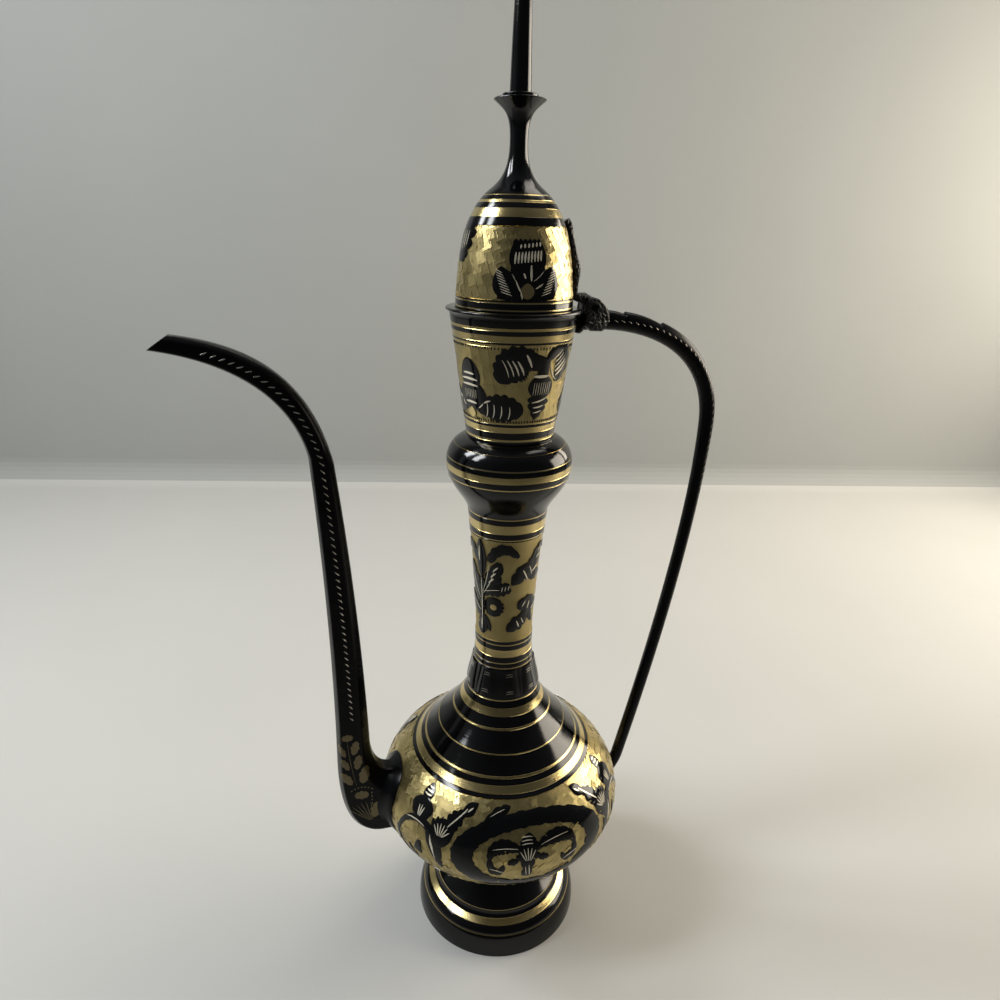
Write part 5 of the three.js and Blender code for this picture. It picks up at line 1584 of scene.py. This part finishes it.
def handle_pieces():
    middle = handle_line()
    eye = round_eye(np.linspace(math.radians(190), math.radians(35), 16))
    slope = [eye[-1], (HINGE_X + 6.4, HINGE_Z), (HINGE_X + 9, HINGE_Z - 5), (HINGE_X + 4, HINGE_Z - 8.9)]
    lower = [tuple(p) for p in bezier(slope, np.linspace(0, 1, 10))[1:]]
    cheek = [*eye, *lower, (HINGE_X - 1, HINGE_Z - 8.7), (HINGE_X - 3.4, HINGE_Z - 6.8)]
    shells = [rod_shell(middle)]
    shells += [slab_shell(cheek, side * EAR_PLACE, EAR_WIDTH, 1.2) for side in (-1, 1)]
    shells.append(lug_shell())
    made = joined("handle_cast", shells, ["cast", "chased", "chased", "cast"], 38)
    seat(made, VESSEL, "black_enamel", "handle")
    for side, label in SIDES:
        row = []
        for run in np.arange(DASHES_START, DASHES_END, 1.5):
            lift = 0.2 + 1.0 * min(run / 40, 1)
            radius = ROD_RADIUS - ROD_SLIMMING * slimming(run)
            on_cheek = middle.at(run)[0] < HINGE_X + 4.6
            depth = EAR_PLACE + EAR_WIDTH / 2 + 0.08 if on_cheek else math.sqrt(radius**2 - lift**2)
            x, z = middle.at(run, -lift)
            row.append((x, side * depth, z))
        dash_row(f"handle_dashes_{label}", row, side, 0.4, 0.72, 0.8)


def strap_piece():
    """The lid's strap: knuckle, slender neck, knotted leaf on the dome and a curled tip."""
    dome = lid_outline()
    foot, tip = LID_FOOT + 3.6, high("lid_strap").z
    stops = [
        (HINGE_X + 0.4, HINGE_Z + 0.4, 4.4, 4.2),
        (HINGE_X - 1.4, HINGE_Z + 2, 4.8, 4.3),
        (HINGE_X - 3.2, HINGE_Z + 3.2, 4.4, 4.4),
    ]
    for share in np.linspace(0, 1, 23):
        z = foot + (tip - foot) * share
        knot = STRAP_KNOT * math.exp(-(((share - 0.375) / 0.13) ** 2))
        curl = STRAP_CURL * math.exp(-(((share - 0.93) / 0.07) ** 2))
        thick = STRAP_THICKNESS + knot + curl
        wide = np.interp(share, [0, 0.12, 0.32, 0.5, 1], [4.6, 5.4, 8.8, 7.8, 3])
        stops.append((dome.radius_at(z) + STRAP_GAP + thick / 2, z, thick, wide))
    along = np.gradient(np.array([stop[:2] for stop in stops]), axis=0)
    along /= np.linalg.norm(along, axis=1)[:, None]
    points = []
    for (x, z, thick, wide), ahead in zip(stops, along):
        for k in range(STRAP_SIDES):
            out, across = squared(2 * math.pi * k / STRAP_SIDES, 0.7)
            u, v = thick / 2 * out, wide / 2 * across
            points.append((x + ahead[1] * u, v, z - ahead[0] * u))
    leaf = points, tube_faces(len(stops), STRAP_SIDES)
    barrel = slab_shell(round_eye(np.linspace(0, 2 * math.pi, 33)[:-1]), 0, KNUCKLE_WIDTH, 0.3)
    made = joined("lid_strap_cast", [leaf, barrel], ["chased", "chased"], 38)
    seat(made, LID, "black_enamel", "lid_strap")


def hidden_metal():
    """Pin, stud and nut keep their own shape. The pin is enamelled over, the others are plain."""
    for name in ("hinge_pin", "finial_stud", "finial_nut"):
        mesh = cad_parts[name].data
        mesh.materials.clear()
        mesh.materials.append(finish("cast" if name == "hinge_pin" else "inside"))


# Stage

CAMERA_TURN = math.radians(-16)
CAMERA_PLACE = Vector((-0.07745, -0.25846, 0.32206))
CAMERA_PITCH = math.radians(21.324)
CAMERA_ROLL = math.radians(1.547)
AHEAD = Vector((-math.sin(CAMERA_TURN), math.cos(CAMERA_TURN), 0))
RIGHT = Vector((math.cos(CAMERA_TURN), math.sin(CAMERA_TURN), 0))
UP = Vector((0, 0, 1))
STAGE_HALF_WIDTH = 2.5
FLOOR_START = -2.0
WALL_PLACE = 0.617
WALL_TOP = 1.6
WALL_SKEW = 0.055
FOLD_RADIUS = 0.03
CLOTH_SHADE = 0.93
# Painted shade of the front card: where it starts, where it is darkest, its darkest share of the floor
# colour, and its height
CARD_START = 0.05
CARD_DARK = -0.25
CARD_SHADE_TONE = 0.25
CARD_HEIGHT = 0.0002
LIGHT_AIM = Vector((0, 0, 0.2))
DAYLIGHT = (0.95, 0.98, 1.0)


def cloth_finish(name):
    """A matt material for cloth, and the places on it."""
    material, tree, shader = new_finish(name, 0)
    shader.inputs["Roughness"].default_value = 0.9
    shader.inputs["Specular IOR Level"].default_value = 0.1
    return material, tree, shader, node(tree, "ShaderNodeTexCoord").outputs["Object"]


def pale_finish(name, tone):
    """Pale cloth with a faint weave."""
    material, tree, shader, place = cloth_finish(name)
    cloth = node(tree, "ShaderNodeTexNoise", Vector__=place, Scale__=7, Detail__=5)
    seen = mixed(tree, cloth.outputs["Fac"], [CLOTH_SHADE * c for c in tone], tone)
    feed(tree, shader.inputs["Base Color"], seen)
    return material


def shaded_card_finish(name, tone):
    """Cloth that is pale beside the surahi and darkens towards the camera: painted shade for the dim side of
    the room.
    """
    material, tree, shader, place = cloth_finish(name)
    reach = node(tree, "ShaderNodeVectorMath", operation="DOT_PRODUCT")
    feed(tree, reach.inputs[0], place)
    feed(tree, reach.inputs[1], AHEAD)
    front = node(tree, "ShaderNodeMapRange", Value__=reach.outputs["Value"])
    feed(tree, front.inputs["From Min"], CARD_START)
    feed(tree, front.inputs["From Max"], CARD_DARK)
    shade = mixed(tree, front.outputs["Result"], tone, [CARD_SHADE_TONE * c for c in tone])
    feed(tree, shader.inputs["Base Color"], shade)
    return material


def softbox(name, azimuth, elevation, distance, width, height, power, tint):
    """A soft light that faces the surahi. Azimuth 0 is the front and 90 the handle's side."""
    lamp = bpy.data.lights.new(name, "AREA")
    lamp.shape = "RECTANGLE"
    lamp.size, lamp.size_y = width, height
    lamp.energy = power
    lamp.color = tint
    made = placed(name, lamp)
    a, e = math.radians(azimuth), math.radians(elevation)
    way = Vector((math.sin(a) * math.cos(e), -math.cos(a) * math.cos(e), math.sin(e)))
    made.location = LIGHT_AIM + way * distance
    made.rotation_mode = "QUATERNION"
    made.rotation_quaternion = (-way).to_track_quat("-Z", "Y")


def place_camera():
    """The photograph's viewpoint: close, from above the front, turned a little to the spout's side."""
    data = bpy.data.cameras.new("photo_camera")
    data.sensor_width = 36
    data.lens = 25.2
    data.clip_start = 0.01
    made = placed("photo_camera", data)
    look = AHEAD * math.cos(CAMERA_PITCH) - UP * math.sin(CAMERA_PITCH)
    up = AHEAD * math.sin(CAMERA_PITCH) + UP * math.cos(CAMERA_PITCH)
    rolled_right = RIGHT * math.cos(CAMERA_ROLL) + up * math.sin(CAMERA_ROLL)
    rolled_up = up * math.cos(CAMERA_ROLL) - RIGHT * math.sin(CAMERA_ROLL)
    turn = Matrix((rolled_right, rolled_up, -look)).transposed()
    made.matrix_world = Matrix.Translation(CAMERA_PLACE) @ turn.to_4x4()
    bpy.context.scene.camera = made


def on_stage(sideways, ahead, height):
    """A point on the stage: to the camera's right of the axis, beyond the axis, and up."""
    return tuple(RIGHT * sideways + AHEAD * ahead + UP * height)


def backdrop():
    """Floor and wall of pale cloth that meet in a soft fold behind the surahi."""
    start = WALL_PLACE - FOLD_RADIUS
    profile = [(FLOOR_START, 0.0), (start, 0.0)]
    for a in np.linspace(0.2, 1.57, 8):
        profile.append((start + FOLD_RADIUS * math.sin(a), FOLD_RADIUS * (1 - math.cos(a))))
    profile.append((WALL_PLACE, WALL_TOP))
    points = []
    for x in (-STAGE_HALF_WIDTH, STAGE_HALF_WIDTH):
        points += [on_stage(x, d + WALL_SKEW * x, z) for d, z in profile]
    count = len(profile)
    faces = [(i, i + count, i + count + 1, i + 1) for i in range(count - 1)]
    mesh = bpy.data.meshes.new("backdrop")
    mesh.from_pydata(points, [], faces)
    mesh.materials.append(pale_finish("floor_cloth", colours().floor))
    mesh.materials.append(pale_finish("wall_cloth", colours().wall))
    mesh.polygons.foreach_set("material_index", [0] * 4 + [1] * (len(faces) - 4))
    made = placed("backdrop", mesh)


def front_shade_card():
    """A card on the floor with painted shade that darkens it towards the camera. Only reflections see it."""
    wide = STAGE_HALF_WIDTH
    corners = [(-wide, FLOOR_START), (wide, FLOOR_START), (wide, CARD_START), (-wide, CARD_START)]
    mesh = bpy.data.meshes.new("front_shade_card")
    mesh.from_pydata([on_stage(x, d, CARD_HEIGHT) for x, d in corners], [], [(0, 1, 2, 3)])
    mesh.materials.append(shaded_card_finish("front_shade_cloth", colours().floor))
    made = placed("front_shade_card", mesh)
    made.visible_camera = False
    made.visible_diffuse = False
    made.visible_shadow = False


def room():
    """A dim room that is paler behind the surahi than behind the camera."""
    world = bpy.data.worlds.new("room")
    bpy.context.scene.world = world
    world.use_nodes = True
    tree = world.node_tree
    shade = next(n for n in tree.nodes if n.type == "BACKGROUND")
    place = node(tree, "ShaderNodeTexCoord").outputs["Generated"]
    depth = node(tree, "ShaderNodeSeparateXYZ", Vector__=place).outputs["Y"]
    level = node(tree, "ShaderNodeMapRange", From_Min__=-0.7, From_Max__=0.6, To_Min__=0.05, To_Max__=0.25)
    feed(tree, level.inputs["Value"], depth)
    feed(tree, shade.inputs["Strength"], level.outputs["Result"])
    shade.inputs["Color"].default_value = (0.94, 0.97, 1.0, 1)


def stage_pieces():
    place_camera()
    backdrop()
    front_shade_card()
    room()
    softbox("window_left_front", -88, 43, 1.0, 0.17, 0.44, 4.4, DAYLIGHT)
    softbox("window_left_back", -114, 43, 1.0, 0.17, 0.44, 4.4, DAYLIGHT)
    softbox("window_right", 92, 15, 0.9, 0.7, 0.45, 7.5, (1.0, 0.90, 0.75))
    softbox("ceiling", 135, 62, 1.2, 0.7, 0.6, 4.2, (1.0, 0.93, 0.82))
    bpy.context.scene.view_settings.view_transform = "Standard"


# Operators and panel


class SURAHI_OT_foot(bpy.types.Operator):
    """Turns the banded foot"""

    bl_idname = "surahi.foot"
    bl_label = "Foot"

    def execute(self, context):
        foot_piece()
        return {"FINISHED"}


class SURAHI_OT_belly(bpy.types.Operator):
    """Turns the belly and lays its medallions and flowers"""

    bl_idname = "surahi.belly"
    bl_label = "Belly"

    def execute(self, context):
        belly_pieces()
        return {"FINISHED"}


class SURAHI_OT_neck(bpy.types.Operator):
    """Turns the neck and lays its sprays"""

    bl_idname = "surahi.neck"
    bl_label = "Neck"

    def execute(self, context):
        neck_piece()
        return {"FINISHED"}


class SURAHI_OT_knop(bpy.types.Operator):
    """Turns the knop"""

    bl_idname = "surahi.knop"
    bl_label = "Knop"

    def execute(self, context):
        knop_piece()
        return {"FINISHED"}


class SURAHI_OT_cup(bpy.types.Operator):
    """Turns the cup and lays its flowers"""

    bl_idname = "surahi.cup"
    bl_label = "Cup"

    def execute(self, context):
        cup_piece()
        return {"FINISHED"}


class SURAHI_OT_mouth_ring(bpy.types.Operator):
    """Turns the ring that the lid closes on"""

    bl_idname = "surahi.mouth_ring"
    bl_label = "Mouth ring"

    def execute(self, context):
        mouth_ring_piece()
        return {"FINISHED"}


class SURAHI_OT_lid(bpy.types.Operator):
    """Turns the lid and lays its flowers"""

    bl_idname = "surahi.lid"
    bl_label = "Lid"

    def execute(self, context):
        lid_piece()
        return {"FINISHED"}


class SURAHI_OT_finial(bpy.types.Operator):
    """Turns the finial's stem, rings and spire"""

    bl_idname = "surahi.finial"
    bl_label = "Finial"

    def execute(self, context):
        finial_pieces()
        return {"FINISHED"}


class SURAHI_OT_spout(bpy.types.Operator):
    """Lofts the spout's halves and lays its dashes and sprig"""

    bl_idname = "surahi.spout"
    bl_label = "Spout"

    def execute(self, context):
        spout_pieces()
        return {"FINISHED"}


class SURAHI_OT_handle(bpy.types.Operator):
    """Lofts the handle with its leaves, ears and lug"""

    bl_idname = "surahi.handle"
    bl_label = "Handle"

    def execute(self, context):
        handle_pieces()
        return {"FINISHED"}


class SURAHI_OT_strap(bpy.types.Operator):
    """Lofts the lid's strap and knuckle"""

    bl_idname = "surahi.strap"
    bl_label = "Strap"

    def execute(self, context):
        strap_piece()
        return {"FINISHED"}


class SURAHI_OT_hidden_metal(bpy.types.Operator):
    """Gives the pin, stud and nut their finish"""

    bl_idname = "surahi.hidden_metal"
    bl_label = "Pin, stud and nut"

    def execute(self, context):
        hidden_metal()
        return {"FINISHED"}


class SURAHI_OT_stage(bpy.types.Operator):
    """Sets up the camera, backdrop and lights"""

    bl_idname = "surahi.stage"
    bl_label = "Stage"

    def execute(self, context):
        stage_pieces()
        return {"FINISHED"}


OPERATORS = [
    SURAHI_OT_foot,
    SURAHI_OT_belly,
    SURAHI_OT_neck,
    SURAHI_OT_knop,
    SURAHI_OT_cup,
    SURAHI_OT_mouth_ring,
    SURAHI_OT_lid,
    SURAHI_OT_finial,
    SURAHI_OT_spout,
    SURAHI_OT_handle,
    SURAHI_OT_strap,
    SURAHI_OT_hidden_metal,
    SURAHI_OT_stage,
]


class SURAHI_PT_pieces(bpy.types.Panel):
    """Settings and pieces of the surahi."""

    bl_label = "Surahi"
    bl_idname = "SURAHI_PT_pieces"
    bl_space_type = "VIEW_3D"
    bl_region_type = "UI"
    bl_category = "Surahi"

    def draw(self, context):
        for group in (context.scene.surahi_sizes, context.scene.surahi_colours):
            for key in group.__annotations__:
                self.layout.prop(group, key)
        for made in OPERATORS:
            self.layout.operator(made.bl_idname)


CLASSES = [SurahiSizes, SurahiColours, *OPERATORS, SURAHI_PT_pieces]


def register():
    for made in CLASSES:
        bpy.utils.register_class(made)
    bpy.types.Scene.surahi_sizes = PointerProperty(type=SurahiSizes)
    bpy.types.Scene.surahi_colours = PointerProperty(type=SurahiColours)


def unregister():
    del bpy.types.Scene.surahi_sizes
    del bpy.types.Scene.surahi_colours
    for made in reversed(CLASSES):
        bpy.utils.unregister_class(made)


def main():
    register()
    bpy.ops.surahi.foot()
    bpy.ops.surahi.belly()
    bpy.ops.surahi.neck()
    bpy.ops.surahi.knop()
    bpy.ops.surahi.cup()
    bpy.ops.surahi.mouth_ring()
    bpy.ops.surahi.lid()
    bpy.ops.surahi.finial()
    bpy.ops.surahi.spout()
    bpy.ops.surahi.handle()
    bpy.ops.surahi.strap()
    bpy.ops.surahi.hidden_metal()
    bpy.ops.surahi.stage()


if __name__ == "__main__":
    main()
